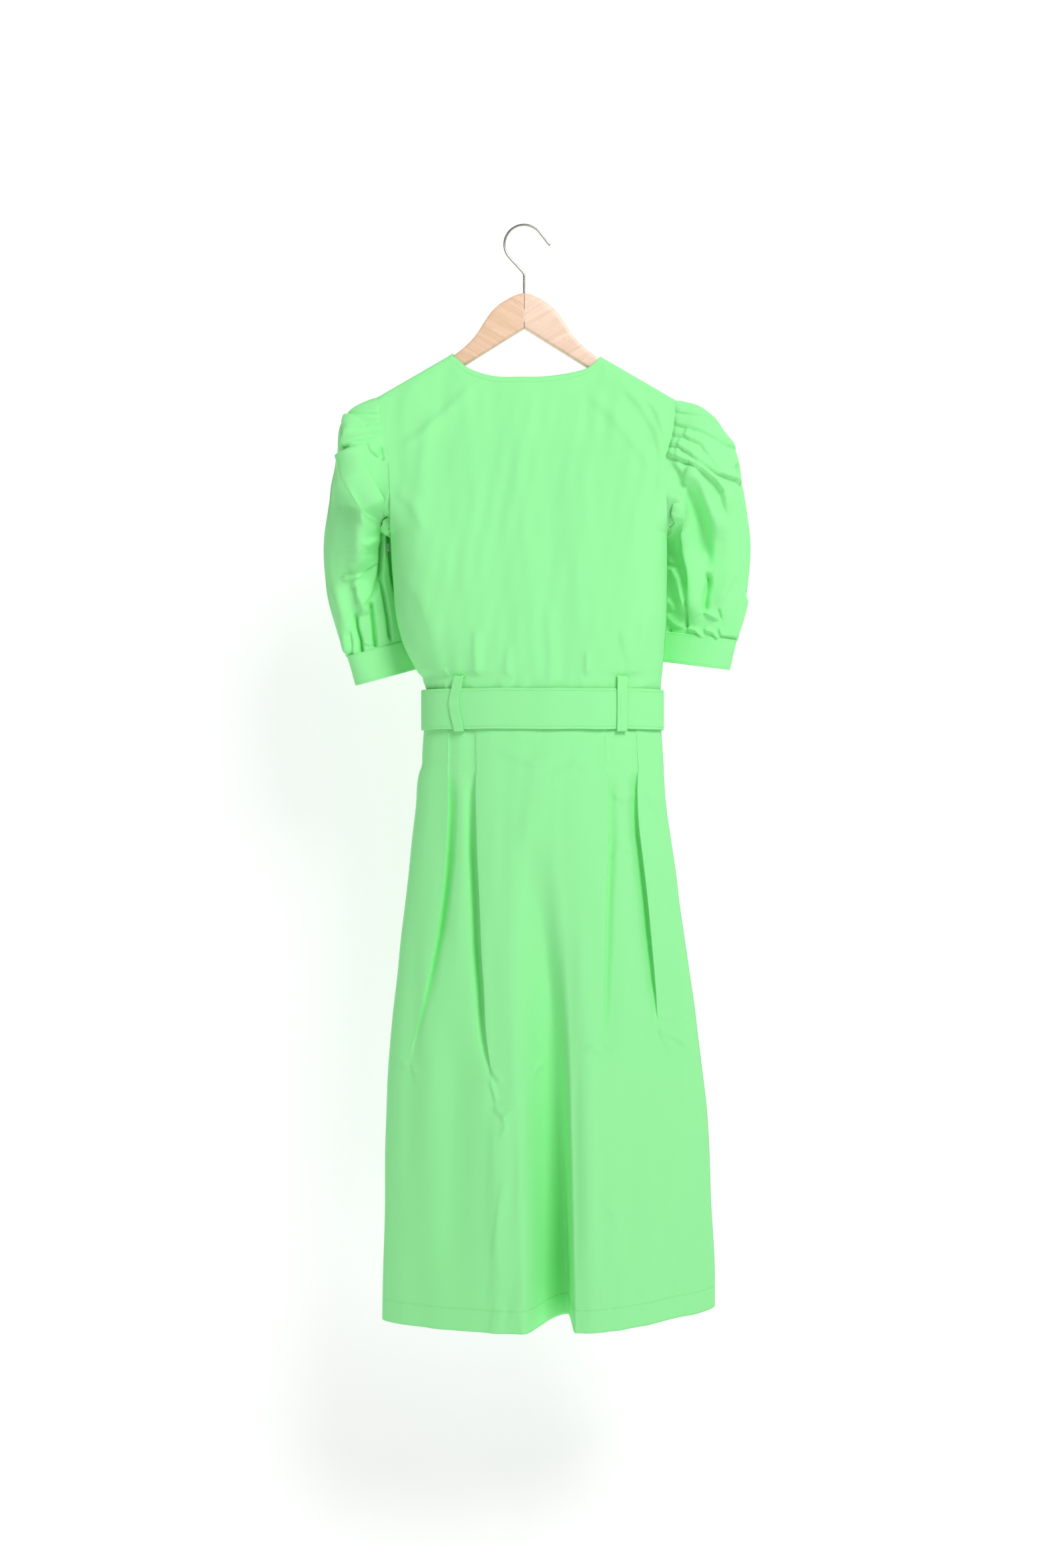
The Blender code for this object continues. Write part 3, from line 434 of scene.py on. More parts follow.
def relief(tree, height, strength, distance, under=None):
    """A bump `distance` metres high, over another one if given."""
    made = node(tree, "ShaderNodeBump", Strength=strength, Distance=distance)
    tree.links.new(height, made.inputs["Height"])
    if under:
        tree.links.new(under, made.inputs["Normal"])
    return made.outputs["Normal"]


def connect(tree, shader, **sockets):
    """Sockets into the shader's inputs of the same name."""
    for key, source in sockets.items():
        tree.links.new(source, shader.inputs[key.replace("_", " ")])


def cotton(name="dress_cotton", darker=1.0):
    """Plain-weave cotton: two crossed thread waves for the weave and slubs that tint single threads, read in
    the cloth's own UVs;
    broad unevenness of colour and fine creases in the bump, read in object space."""
    base = np.array(bpy.context.scene.dress_colours.cotton) * darker
    made, tree, shader = new_material(name, base, 0.62)
    if tree is None:
        return made
    shader.inputs["Sheen Weight"].default_value = 0.18
    shader.inputs["Sheen Roughness"].default_value = 0.45
    shader.inputs["Sheen Tint"].default_value = (0.8, 1.0, 0.8, 1.0)
    shader.inputs["Specular IOR Level"].default_value = 0.32
    uv = node(tree, "ShaderNodeUVMap", uv_map="cloth").outputs["UV"]
    place = node(tree, "ShaderNodeTexCoord").outputs["Object"]
    weave = maths(tree, "ADD", bands(tree, uv, 420.0, 0.4, "X"), bands(tree, uv, 420.0, 0.4, "Y"))
    slub = noise(tree, mapped(tree, uv, Scale=(60.0, 900.0, 1.0)), Scale=1.0, Detail=2.0)
    broad = noise(tree, place, Scale=14.0, Detail=3.0, Roughness=0.55)
    fine = noise(tree, place, Scale=85.0, Detail=5.0, Roughness=0.6)
    soft = noise(tree, place, Scale=26.0, Detail=4.0, Roughness=0.5, Distortion=0.6)
    shade = maths(tree, "MULTIPLY_ADD", slub, 0.35, maths(tree, "MULTIPLY", broad, 0.65))
    dark, light = base * np.array([0.90, 0.955, 0.91]), base * np.array([1.05, 1.02, 1.04])
    tint = ramp(tree, shade, dark, light, 0.25, 0.75)
    threads = relief(tree, weave, 0.22, 0.00012)
    crumple = relief(tree, fine, 0.30, 0.0012, threads)
    wide = relief(tree, soft, 0.35, 0.004, crumple)
    connect(tree, shader, Base_Color=tint, Roughness=spread(tree, fine, 0.54, 0.72), Normal=wide)
    return made


def thread():
    """Sewing thread: a fine twist along its length."""
    made, tree, shader = new_material("sewing_thread", bpy.context.scene.dress_colours.thread, 0.5)
    if tree is None:
        return made
    place = node(tree, "ShaderNodeTexCoord").outputs["Object"]
    twist = bands(tree, place, 900.0, 1.0, "DIAGONAL")
    connect(tree, shader, Normal=relief(tree, twist, 0.4, 0.0001))
    return made


def beech(name, colour, lean):
    """Beech: long grain stretched along the arm, short dark flecks across the face, fine pores and a
    satin lacquer."""
    base = np.array(colour)
    made, tree, shader = new_material(name, base, 0.4)
    if tree is None:
        return made
    shader.inputs["Coat Weight"].default_value = 0.25
    shader.inputs["Coat Roughness"].default_value = 0.25
    place = node(tree, "ShaderNodeTexCoord").outputs["Object"]
    turned = mapped(tree, place, Rotation=(0.0, lean, 0.0))
    grain = noise(tree, mapped(tree, turned, Scale=(9.0, 60.0, 170.0)),
                  Scale=1.0, Detail=5.0, Roughness=0.6, Distortion=0.5)
    fleck = noise(tree, mapped(tree, turned, Scale=(240.0, 200.0, 1500.0)), Scale=1.0, Detail=1.0)
    mix = node(tree, "ShaderNodeMix", data_type="RGBA")
    share, under, over = mix.inputs[0], mix.inputs[6], mix.inputs[7]
    over.default_value = (*(base * np.array([0.74, 0.58, 0.46])), 1.0)
    tree.links.new(ramp(tree, fleck, (0.0, 0.0, 0.0), (0.42, 0.42, 0.42), 0.62, 0.72), share)
    tree.links.new(ramp(tree, grain, base * np.array([0.88, 0.83, 0.78]), base * 1.06, 0.30, 0.68), under)
    connect(tree, shader, Base_Color=mix.outputs[2], Roughness=spread(tree, grain, 0.34, 0.5),
            Normal=relief(tree, grain, 0.25, 0.0003))
    return made


def metal(name, colour, roughness, scratch=0.15):
    """Polished metal: brushing marks and finger haze in its roughness."""
    base = np.array(colour)
    made, tree, shader = new_material(name, base, roughness, metallic=1.0)
    if tree is None:
        return made
    place = node(tree, "ShaderNodeTexCoord").outputs["Object"]
    haze = noise(tree, place, Scale=180.0, Detail=4.0, Roughness=0.6)
    connect(tree, shader, Base_Color=ramp(tree, haze, base * 0.85, base * 1.08),
            Roughness=spread(tree, haze, roughness * 0.7, roughness * 1.4),
            Normal=relief(tree, haze, scratch, 0.0001))
    return made


def tape(name, colour):
    """Woven tape: herringbone-like ribs and a soft uneven tint, in object space."""
    base = np.array(colour)
    made, tree, shader = new_material(name, base, 0.75)
    if tree is None:
        return made
    place = node(tree, "ShaderNodeTexCoord").outputs["Object"]
    rib = bands(tree, place, 300.0, 0.5, "DIAGONAL")
    connect(tree, shader, Base_Color=ramp(tree, rib, base * 0.82, base * 1.05),
            Normal=relief(tree, rib, 0.4, 0.0002))
    return made


def backdrop_paint(colour):
    """Matt pale paint with a glow of its own, clear from behind so that no side of the dress is hidden."""
    made, tree, shader = new_material("backdrop", [0.5 * part for part in colour], 0.9)
    if tree is None:
        return made
    shader.inputs["Specular IOR Level"].default_value = 0.1
    shader.inputs["Emission Color"].default_value = (1.0, 1.0, 1.0, 1.0)
    shader.inputs["Emission Strength"].default_value = 0.66
    clear = node(tree, "ShaderNodeBsdfTransparent")
    both = node(tree, "ShaderNodeMixShader")
    look = node(tree, "ShaderNodeNewGeometry")
    tree.links.new(look.outputs["Backfacing"], both.inputs["Fac"])
    tree.links.new(shader.outputs[0], both.inputs[1])
    tree.links.new(clear.outputs[0], both.inputs[2])
    tree.links.new(both.outputs[0], tree.nodes["Material Output"].inputs["Surface"])
    return made


# ---------------------------------------------------------------- outline of the dress
CROWN = [(0.0, 0.0), (10.0, -2.4), (19.3, -6.9), (33.0, -15.8), (41.3, -24.1), (49.5, -35.8),
         (57.0, -48.0), (66.0, -59.2), (77.0, -69.5), (93.6, -81.9)]
CROWN_END, CROWN_FALL = 93.6, 81.9    # the crown's reach to each side and how far it falls by then
ARM_SLOPE = 0.58
BODICE_SIDES = [(-221, -182.0, 190.0), (-250, -180.0, 188.5), (-277, -175.5, 182.5), (-298, -170.5, 176.0),
                (-335, -168.0, 177.5), (-385, -167.0, 178.5), (-440, -163.5, 178.5), (-495, -158.0, 177.3),
                (-524, -149.4, 175.0), (-550, -136.0, 172.5), (-570, -124.5, 170.5), (-640, -124.5, 170.5)]
SKIRT_SIDES = [(-600, -124.5, 170.5), (-628, -125.0, 171.0), (-661, -127.0, 173.0), (-669, -127.0, 173.6),
               (-682, -131.0, 174.0), (-723, -135.0, 177.0), (-765, -140.0, 183.0), (-806, -144.0, 189.0),
               (-848, -149.0, 194.0), (-889, -154.0, 200.0), (-931, -158.0, 206.0), (-972, -163.0, 212.0),
               (-1014, -167.0, 217.0), (-1055, -170.0, 222.0), (-1097, -171.5, 227.0), (-1138, -173.0, 230.0),
               (-1221, -173.5, 233.0), (-1304, -176.0, 237.5), (-1363, -177.0, 237.5)]
DEPTHS = [(-205, 12.2), (-221, 12.2), (-260, 15.0), (-300, 28.0), (-345, 43.0), (-385, 52.0), (-450, 57.0),
          (-570, 58.0), (-640, 58.0)]
CLOSING = [(-221, 0.0), (-300, 0.12), (-345, 0.30), (-370, 0.62), (-385, 1.0)]
NECK_LEFT, NECK_RIGHT = -87.0, 95.0


def column(table, k):
    return [(row[0], row[k]) for row in table]


def straight(table, at):
    """Read (place, value) rows at a place, straight between the rows."""
    rows = sorted(table)
    return np.interp(at, [r[0] for r in rows], [r[1] for r in rows])


def wood_top(x):
    """Upper edge of the hanger: a smooth crown, then a straight fall along the arm."""
    x = np.abs(np.asarray(x, float))
    arm = WOOD_TOP - CROWN_FALL - ARM_SLOPE * (x - CROWN_END)
    return np.where(x < CROWN_END, WOOD_TOP + smooth(CROWN, x), arm)


def wood_under(x):
    """Lower edge of the hanger: a shallow V in the middle, then level with the arm."""
    x = np.abs(np.asarray(x, float))
    middle = WOOD_TOP - 44.0
    start = WOOD_TOP - CROWN_FALL - 20.5
    return np.where(x < CROWN_END, middle + (start - middle) * x / CROWN_END,
                    start - ARM_SLOPE * (x - CROWN_END))


def side_x(z, side):
    """Where the bodice ends on one side at a height."""
    table = column(BODICE_SIDES, 1 if side < 0 else 2)
    return np.where(z > -221, table[0][1], smooth(table, z))


def away(x, y):
    """Correct a place read off the outline plane for its depth, as seen from the view's centre."""
    return VIEW_X + (x - VIEW_X) * (1.0 + y / VIEW_DISTANCE)


# ---------------------------------------------------------------- bodice
BACK_NECK = [(-87.0, -164.5), (-84.0, -167.5), (-70.5, -178.7), (-58.0, -184.2), (-46.5, -187.6),
             (-35.7, -189.6), (-5.0, -190.2), (24.0, -189.8), (48.0, -186.9), (64.7, -183.7), (81.3, -177.8),
             (91.0, -169.5), (95.0, -164.5)]
BACK_FOLDS = [
    (((-60, -198), (-95, -232), (-128, -262), (-162, -285)), 1.6, 9.0, 6.0),
    (((150, -212), (166, -235), (176, -262), (178, -290)), 1.9, 8.0, 4.0),
    (((118, -196), (146, -225), (165, -258), (176, -305)), 1.7, 9.0, 5.0),
    (((70, -200), (112, -240), (150, -290), (174, -330)), 1.3, 12.0, 7.0),
    (((-108, -215), (-128, -300), (-135, -380)), 1.5, 12.0, 10.0),
    (((-166, -330), (-140, -352), (-120, -395)), 1.5, 9.0, 6.0),
    (((-118, -560), (-117, -575), (-116, -592)), 2.2, 3.5, 1.6),
    (((-99, -552), (-98.5, -572), (-98, -592)), 1.8, 3.5, 1.6),
    (((-164, -430), (-128, -470), (-110, -530)), 1.7, 13.0, 8.0),
    (((140, -576), (156, -570), (170, -563)), 2.0, 5.0, 2.2),
    (((120, -500), (132, -545), (134, -590)), 1.7, 9.0, 6.0),
    (((172, -470), (150, -500), (140, -560)), 1.5, 10.0, 7.0),
    (((-62, -500), (-60, -550), (-63, -592)), 1.4, 7.0, 4.0),
    (((30, -470), (34, -540), (30, -592)), 1.2, 9.0, 7.0),
    (((78, -530), (79, -565), (78, -592)), 1.4, 5.0, 3.0),
    (((-20, -520), (-22, -560), (-21, -592)), 1.1, 6.0, 4.0),
]
FRONT_FOLDS = [
    (((-150, -250), (-110, -330), (-60, -430)), 2.4, 12.0, 7.0),
    (((160, -250), (120, -330), (70, -430)), 2.4, 12.0, 7.0),
    (((-90, -430), (-85, -520), (-80, -592)), 3.0, 9.0, 3.5),
    (((105, -430), (100, -520), (95, -592)), 3.0, 9.0, 3.5),
    (((-40, -480), (-36, -540), (-34, -592)), 2.0, 7.0, 4.0),
    (((60, -480), (56, -540), (54, -592)), 2.0, 7.0, 4.0),
]


def neck_edge(facing):
    """Neck edge from left to right: the back's shallow scoop, or the front's deep near-V."""
    if facing < 0:
        x = np.linspace(NECK_LEFT, NECK_RIGHT, 91)
        return x, smooth(BACK_NECK, x)
    share = np.sin(np.linspace(-1, 1, 91) * pi / 2)
    x = (NECK_LEFT + NECK_RIGHT) / 2 + (NECK_RIGHT - NECK_LEFT) / 2 * share
    return x, -164.5 - 136.5 * (1 - np.abs(share) ** 1.35)


def bodice_y(x, z, facing, inset=0.0):
    """Depth of a bodice panel: a squared oval section, (1 - c |s|^p)^(1/2) across the share s, that opens
    towards the armholes and arches over the hanger."""
    mid = (side_x(z, -1) + side_x(z, 1)) / 2
    half = (side_x(z, 1) - side_x(z, -1)) / 2
    share = (x - mid) / half
    closing = np.where(z > -385, smooth(CLOSING, z), 1.0)
    power = 2.0 + 3.0 * ease((z + 600) / 130) + 5.0 * ease((z + 470) / 80)
    oval = np.sqrt(np.clip(1 - closing * np.abs(share) ** power, 0, 1))
    drop = np.clip(wood_top(x) + 4.2 - z, 0, 12.2)
    arch = np.clip(1 - (1 - drop / 12.2) ** 3, 0, 1) ** (1 / 3)
    return facing * np.maximum(smooth(DEPTHS, z) * oval * arch - inset, 0.0)


NECK_COLUMNS = slice(53, 144)    # the bodice columns that end in the neck edge
FACING_COLUMNS = slice(55, 142)


def bodice_points(facing, rows=200, shrink=0.0):
    """A bodice panel: columns run from the waist seam to the top edge, which follows one shoulder, the
    neck edge and the other shoulder; each column moves evenly from its place at the waist to its top.
    Where the belt can reach, the cloth is held inside the waist's oval."""
    neck_x, neck_z = neck_edge(facing)
    left = np.linspace(float(side_x(-221, -1)), NECK_LEFT, 54)[:-1]
    right = np.linspace(NECK_RIGHT, float(side_x(-221, 1)), 54)[1:]
    top_x = np.concatenate([left, neck_x, right])
    top_z = np.concatenate([wood_top(left) + 4.2, neck_z, wood_top(right) + 4.2])
    rise = np.linspace(0, 1, rows)[:, None]
    z = SEAM + rise * (top_z[None, :] - SEAM)
    mid = (side_x(z, -1) + side_x(z, 1)) / 2
    half = (side_x(z, 1) - side_x(z, -1)) / 2
    top_share = (top_x - mid[-1]) / half[-1]
    low = np.linspace(-1, 1, len(top_x))
    low_share = 0.45 * low + 0.55 * np.sin(low * pi / 2)
    share = (1 - rise) * low_share[None, :] + rise * top_share[None, :]
    x = mid + (half - shrink) * np.clip(share, -1, 1)
    y = bodice_y(x, z, facing, shrink)
    edge = np.clip((1 - np.abs(share)) / 0.08, 0, 1)
    low_hide = ease((z + 600) / 40)
    folds = 1.5 * creases(x, z, BACK_FOLDS if facing < 0 else FRONT_FOLDS)
    folds = folds + 1.5 * ripple(x, z, 95.0, 420.0, 5 + facing, 8) * ease((z + 600) / 60)
    folds = folds + 0.5 * ripple(x, z, 28.0, 90.0, 11 + facing, 10)
    folds = folds + 0.9 * ripple(x, z, 30.0, 110.0, 17 + facing, 8) * ease((-500 - z) / 70)
    near_top = ease((top_z[None, :] - z) / 22)
    y = y + facing * folds * edge * near_top * (0.35 + 0.65 * low_hide)
    if facing < 0:
        seam = [(-93, -171.5), (-118, -184.8), (-150, -203.5), (-181, -221)]
        y = y + facing * crease(x, z, seam, -0.9, 1.0, 1.4)
    x = away(x, y * (facing < 0))
    out = np.hypot((x - WAIST_MID) / (WAIST_HALF + 1.3), y / (WAIST_DEPTH + 1.3))
    hold = 1 - ease((-556 - z) / 10) * (1 - 1 / np.maximum(out, 1.0))
    return np.stack([WAIST_MID + (x - WAIST_MID) * hold, y * hold, z], axis=-1)


# ---------------------------------------------------------------- skirt
PLEATS_BACK = [
    # the pleats' edges as (height, x) rows, then their steps as (height, depth) rows: left outer, left
    # inner, right inner, right outer
    ([(-600, -93.0), (-681, -94.5), (-735, -97.0), (-791, -101.0), (-876, -111.0), (-927, -119.5),
      (-1045, -142.0), (-1370, -160.0)],
     [(-600, 0.9), (-679, 1.1), (-715, 7.0), (-790, 12.0), (-880, 12.0), (-960, 5.0), (-1045, 0.0),
      (-1370, 0.0)]),
    ([(-600, -61.0), (-681, -59.8), (-752, -56.4), (-836, -51.9), (-904, -49.0), (-960, -46.0),
      (-1005, -45.0), (-1051, -41.0), (-1370, -44.0)],
     [(-600, 0.9), (-679, 1.2), (-705, 7.0), (-780, 14.0), (-900, 16.0), (-975, 13.0), (-1030, 6.0),
      (-1062, 0.0), (-1370, 0.0)]),
    ([(-600, 104.0), (-681, 103.5), (-752, 104.0), (-836, 100.4), (-904, 98.8), (-960, 97.6), (-1017, 97.6),
      (-1370, 99.0)],
     [(-600, 0.9), (-679, 1.1), (-715, 5.0), (-790, 7.0), (-900, 7.0), (-985, 5.0), (-1030, 0.0),
      (-1370, 0.0)]),
    ([(-600, 138.0), (-681, 142.0), (-735, 144.6), (-790, 151.0), (-836, 156.5), (-904, 162.5), (-960, 166.0),
      (-1000, 166.0), (-1370, 190.0)],
     [(-600, 0.9), (-679, 1.4), (-700, 6.0), (-760, 11.0), (-880, 12.0), (-950, 8.0), (-1000, 0.0),
      (-1370, 0.0)]),
]
HEM_PLAN = [(-1.0, 50.0), (-0.878, 58.5), (-0.698, 71.0), (-0.518, 78.0), (-0.3, 90.0), (0.0, 94.0),
            (0.2, 99.0), (0.27, 103.0), (0.39, 104.0), (0.51, 98.0), (0.635, 88.0), (0.757, 77.0),
            (0.878, 71.0), (1.0, 62.0)]
VALLEY = [  # height, left wall's middle and half width, right wall's middle and half width
    (-740, -6.0, 30.0, 22.0, 22.0), (-839, 2.0, 30.0, 32.0, 17.0), (-1000, 12.0, 32.0, 46.0, 11.0),
    (-1150, 20.0, 32.0, 53.0, 7.0), (-1280, 24.0, 30.0, 57.0, 5.0), (-1370, 24.0, 28.0, 59.0, 4.0)]
SKIRT_FOLDS = [
    (((-150, -720), (-158, -900), (-164, -1120)), 2.2, 12.0, 9.0),
    (((-118, -960), (-122, -1150), (-126, -1345)), 2.8, 15.0, 12.0),
    (((-78, -1000), (-84, -1150), (-86, -1345)), -3.2, 12.0, 16.0),
    (((-38, -1090), (-33, -1220), (-30, -1350)), 2.8, 15.0, 9.0),
    (((70, -840), (78, -1040), (82, -1350)), 3.6, 9.0, 16.0),
    (((124, -1010), (130, -1180), (134, -1350)), -2.6, 14.0, 12.0),
    (((172, -1040), (180, -1180), (184, -1350)), 2.6, 16.0, 12.0),
    (((150, -690), (172, -740), (182, -790)), 2.4, 8.0, 6.0),
    (((186, -860), (200, -960), (212, -1060)), 2.2, 9.0, 8.0),
    (((20, -640), (12, -720), (0, -790)), 2.0, 16.0, 12.0),
    (((-40, -650), (10, -668), (60, -655)), 1.3, 10.0, 5.0),
    (((30, -690), (66, -672), (98, -684)), 1.2, 8.0, 4.0),
    (((108, -705), (124, -716), (140, -706)), 1.8, 6.0, 3.0),
    (((104, -790), (124, -775), (146, -782)), 1.8, 9.0, 4.0),
    (((164, -1000), (172, -1008), (190, -1018), (208, -1034)), 2.8, 5.0, 2.5),
    (((166, -1004), (176, -1020), (186, -1042)), 2.0, 5.0, 2.5),
    (((196, -1012), (208, -1040), (224, -1060)), 2.0, 6.0, 3.0),
    (((160, -986), (182, -992), (204, -986)), 1.6, 5.0, 3.0),
    (((78, -1022), (92, -1030), (98, -1034)), 2.2, 4.0, 2.0),
    (((98, -1020), (112, -1030), (124, -1026)), 1.8, 5.0, 2.0),
    (((-170, -1066), (-156, -1050), (-140, -1060)), 2.0, 5.0, 2.2),
    (((-142, -1050), (-134, -1066), (-136, -1080)), 1.6, 4.0, 2.0),
    (((-42, -1050), (-34, -1062), (-26, -1066)), 2.4, 4.0, 2.0),
    (((-44, -1064), (-38, -1080), (-34, -1096)), 2.0, 4.0, 2.0),
    (((-40, -1098), (-26, -1110), (-12, -1104)), 2.4, 5.0, 2.2),
    (((-28, -1104), (-24, -1122), (-30, -1140)), 1.6, 4.0, 2.4),
    (((10, -1062), (20, -1050), (28, -1048)), 1.6, 5.0, 2.4),
    (((-26, -1180), (-34, -1240), (-40, -1300)), 1.2, 6.0, 3.0),
    (((96, -1210), (112, -1236), (118, -1260)), 1.2, 4.0, 1.6),
    (((112, -1310), (150, -1296), (176, -1262)), 1.8, 12.0, 6.0),
    (((-132, -1330), (-110, -1318), (-92, -1326)), 1.2, 6.0, 3.0),
]


HEM_EDGE, HEM_RISE = -1361.0, 16.0    # the hem's height on the left and its climb to the right
HEM_START, HEM_END = -175.0, 236.0


def hem_height(x):
    """True height of the hem's edge, a little higher on the right."""
    share = (np.clip(x, HEM_START, HEM_END) - HEM_START) / (HEM_END - HEM_START)
    return HEM_EDGE + share * HEM_RISE


def skirt_base(share, z, facing):
    """Depth of the open skirt: the waist's oval turning into the hem's plan, with height."""
    fall = np.clip((-645 - z) / 716, 0, 1)
    plan = smooth(HEM_PLAN, share if facing < 0 else -share)
    if facing > 0:
        plan = 0.55 * plan + 41.0
    return ((1 - fall) * 58.0 + fall * plan) * np.sqrt(np.clip(1 - share ** 2, 0, 1))


def knot_slopes(knots):
    """Slope at each knot of a row, held to twice the smaller step beside it so the curve can't overshoot."""
    slope = np.gradient(knots, axis=1)
    step = np.abs(np.diff(knots, axis=1))
    most = 2 * np.minimum(step[:, :-1], step[:, 1:])
    slope[:, 1:-1] = np.clip(slope[:, 1:-1], -most, most)
    return slope


def in_hook_plane(z):
    """The height in the hook's plane that the camera sees behind a height on the skirt's back."""
    return VIEW_HEIGHT + (z - VIEW_HEIGHT) / HEM_SHRINK


def skirt_points(facing, rows=250):
    """A skirt panel. A cross section runs from side to side through knots: each pleat's edge has a knot on
    the edge, one tucked under it and one on the pleat's floor, so the cloth doubles back beneath the edge.
    The section's depth is the base oval plus the knots' depths, one deep valley and soft long folds."""
    t = np.linspace(0, 1, rows) ** 0.98
    rough = SEAM + t * (HEM + 10.0 - SEAM)
    zp = in_hook_plane(rough)
    left = smooth(column(SKIRT_SIDES, 1), rough)
    right = smooth(column(SKIRT_SIDES, 2), rough)
    sizes = bpy.context.scene.dress_sizes
    scale = sizes.pleat / MM / 13.0
    edges = [table for table, _ in PLEATS_BACK]
    if facing > 0:
        edges = [[(height, 22.0 - (x - 22.0) * 0.94) for height, x in table] for table in edges]
    edges = [smooth(table, zp) for table in edges]
    steps = [np.maximum(straight(s, zp), 0) * scale for _, s in PLEATS_BACK]
    if facing > 0:
        edges = edges[::-1]
        steps = steps[::-1]
    knots_x, knots_h, counts = [left], [0 * left], []

    def add(x, h, count):
        knots_x.append(x)
        knots_h.append(h)
        counts.append(count)

    e1, e2, e3, e4 = edges
    s1, s2, s3, s4 = steps
    f1, f2, f3, f4 = (ease(s / 2.5) for s in steps)
    o1, o2, o3, o4 = (0.30 * s for s in steps)
    a1, a2, a3, a4 = (f * o - 1.7 * (1 - f) for f, o in zip((f1, f2, f3, f4), (o1, o2, o3, o4)))

    def fold(e, s, o, a, f, side):
        """Knots of one pleat from its edge to its floor, or back: the edge, the tuck, the slit, the floor."""
        rows = [(e - side * 5, 0 * left), (e + side * a, 0.04 * s), (e - side * o * f * 0.4, 0.55 * s),
                (e + side * (o + 3), 1.25 * s), (e + side * (o + 12), 0.55 * s)]
        for x, h in rows[::int(side)]:
            add(x, h, 4)

    add(left + (e1 - left) * 0.5, 0 * left, 10)
    fold(e1, s1, o1, a1, f1, 1.0)
    add((e1 + e2) / 2, 0.22 * (s1 + s2), 5)
    fold(e2, s2, o2, a2, f2, -1.0)
    for share_x, count in ((0.2, 9), (0.4, 15), (0.6, 17), (0.8, 15)):
        add(e2 + (e3 - e2) * share_x, 0 * left, count)
    fold(e3, s3, o3, a3, f3, 1.0)
    add((e3 + e4) / 2, 0.22 * (s3 + s4), 5)
    fold(e4, s4, o4, a4, f4, -1.0)
    add(e4 + (right - e4) * 0.5, 0 * left, 10)
    add(right, 0 * left, 10)
    xs = np.stack(knots_x, axis=1)
    hs = np.stack(knots_h, axis=1)
    slope_x, slope_h = knot_slopes(xs), knot_slopes(hs)
    cols_x, cols_h = [xs[:, :1]], [hs[:, :1]]
    for k, count in enumerate(counts):
        u = (np.arange(1, count + 1) / count)[None, :]
        a, b, c, d = hermite(u)
        for source, slope, out in ((xs, slope_x, cols_x), (hs, slope_h, cols_h)):
            out.append(a * source[:, k:k + 1] + b * slope[:, k:k + 1]
                       + c * source[:, k + 1:k + 2] + d * slope[:, k + 1:k + 2])
    x = np.clip(np.concatenate(cols_x, axis=1), left[:, None], right[:, None])
    h = np.concatenate(cols_h, axis=1)
    z = SEAM + t[:, None] * (hem_height(x) - SEAM)
    share = np.clip((x - (left + right)[:, None] / 2) / ((right - left)[:, None] / 2), -1, 1)
    base = skirt_base(share, z, facing)
    zz = in_hook_plane(z)
    grow = np.clip((-760 - zz) / 610, 0, 1)
    valley_x = x if facing < 0 else 40.0 - x
    wall = [smooth(column(VALLEY, k), zz) for k in range(1, 5)]
    size = (sizes.valley / MM) * (1.0 if facing < 0 else 0.5)
    valley = size * 1.16 * grow ** 1.1 * ease((valley_x - wall[0] + wall[1]) / (2 * wall[1]))
    valley = valley * (1 - ease((valley_x - wall[2] + wall[3]) / (2 * wall[3])))
    edge = np.clip((1 - np.abs(share)) / 0.10, 0, 1)
    low = np.clip((-640 - z) / 700, 0, 1)
    soft = 1.3 * creases(x, zz, SKIRT_FOLDS) if facing < 0 else 2.5 * ripple(x, z, 60.0, 1500.0, 41, 7) * low
    soft = soft + (0.5 + 1.9 * low) * ripple(x, z, 52.0, 1300.0, 21 + facing, 9)
    soft = soft + (0.25 + 0.45 * low) * ripple(x, z, 21.0, 260.0, 31 + facing, 10)
    soft = soft + 0.35 * ripple(x, z, 13.0, 60.0, 37 + facing, 12) * ease((z + 1320) / -60 + 1)
    below = hem_height(x) - z
    hem = sizes.hem / MM
    band = ease((below + hem + 0.8) / 1.2)
    pucker = 0.5 * np.sin(x / 3.1 + 1.4 * np.sin(x / 17.0)) * np.exp(-((below + hem) / 7.0) ** 2)
    tacks = 0.45 * np.sin(z / 2.6) * ease((z + 685) / 8) * np.exp(-(h / 3.0) ** 2) * (h > 0.15)
    y = base - h - valley + soft * edge * ease((-610 - z) / 40) + 0.55 * band * edge + pucker * edge + tacks
    y = facing * np.maximum(y, 0.0)
    if facing < 0:
        x = away(x, y)
    return np.stack([x, y, z], axis=-1)


def surface_line(points, pick_x, pick_z, lift):
    """Points on a grid's surface nearest to given (x, z) places, with the surface's outward normals."""
    flat = points.reshape(-1, 3)
    normal = normals_of(points, False).reshape(-1, 3)
    facing = np.sign(np.median(flat[:, 1]))
    normal = normal * np.sign(normal[:, 1:2] * facing + 1e-9)
    chosen = np.array([int(np.argmin((flat[:, 0] - a) ** 2 + (flat[:, 2] - b) ** 2)) for a, b in
                       zip(pick_x, pick_z)])
    return flat[chosen] + normal[chosen] * lift, normal[chosen]


def row_line(points, distance, lift=0.0, from_end=True):
    """A line that runs along a grid's rows, a distance in from its last (or first) row."""
    grid = points[::-1] if from_end else points
    run = np.concatenate([[np.zeros(grid.shape[1])],
                          np.cumsum(np.linalg.norm(np.diff(grid, axis=0), axis=-1), axis=0)])
    at = np.argmin(np.abs(run - distance), axis=0)
    picked = grid[at, np.arange(grid.shape[1])]
    normal = normals_of(grid, False)[at, np.arange(grid.shape[1])]
    facing = np.sign(np.median(points[..., 1]))
    normal = normal * np.sign(normal[:, 1:2] * facing + 1e-9)
    return picked + normal * lift, normal


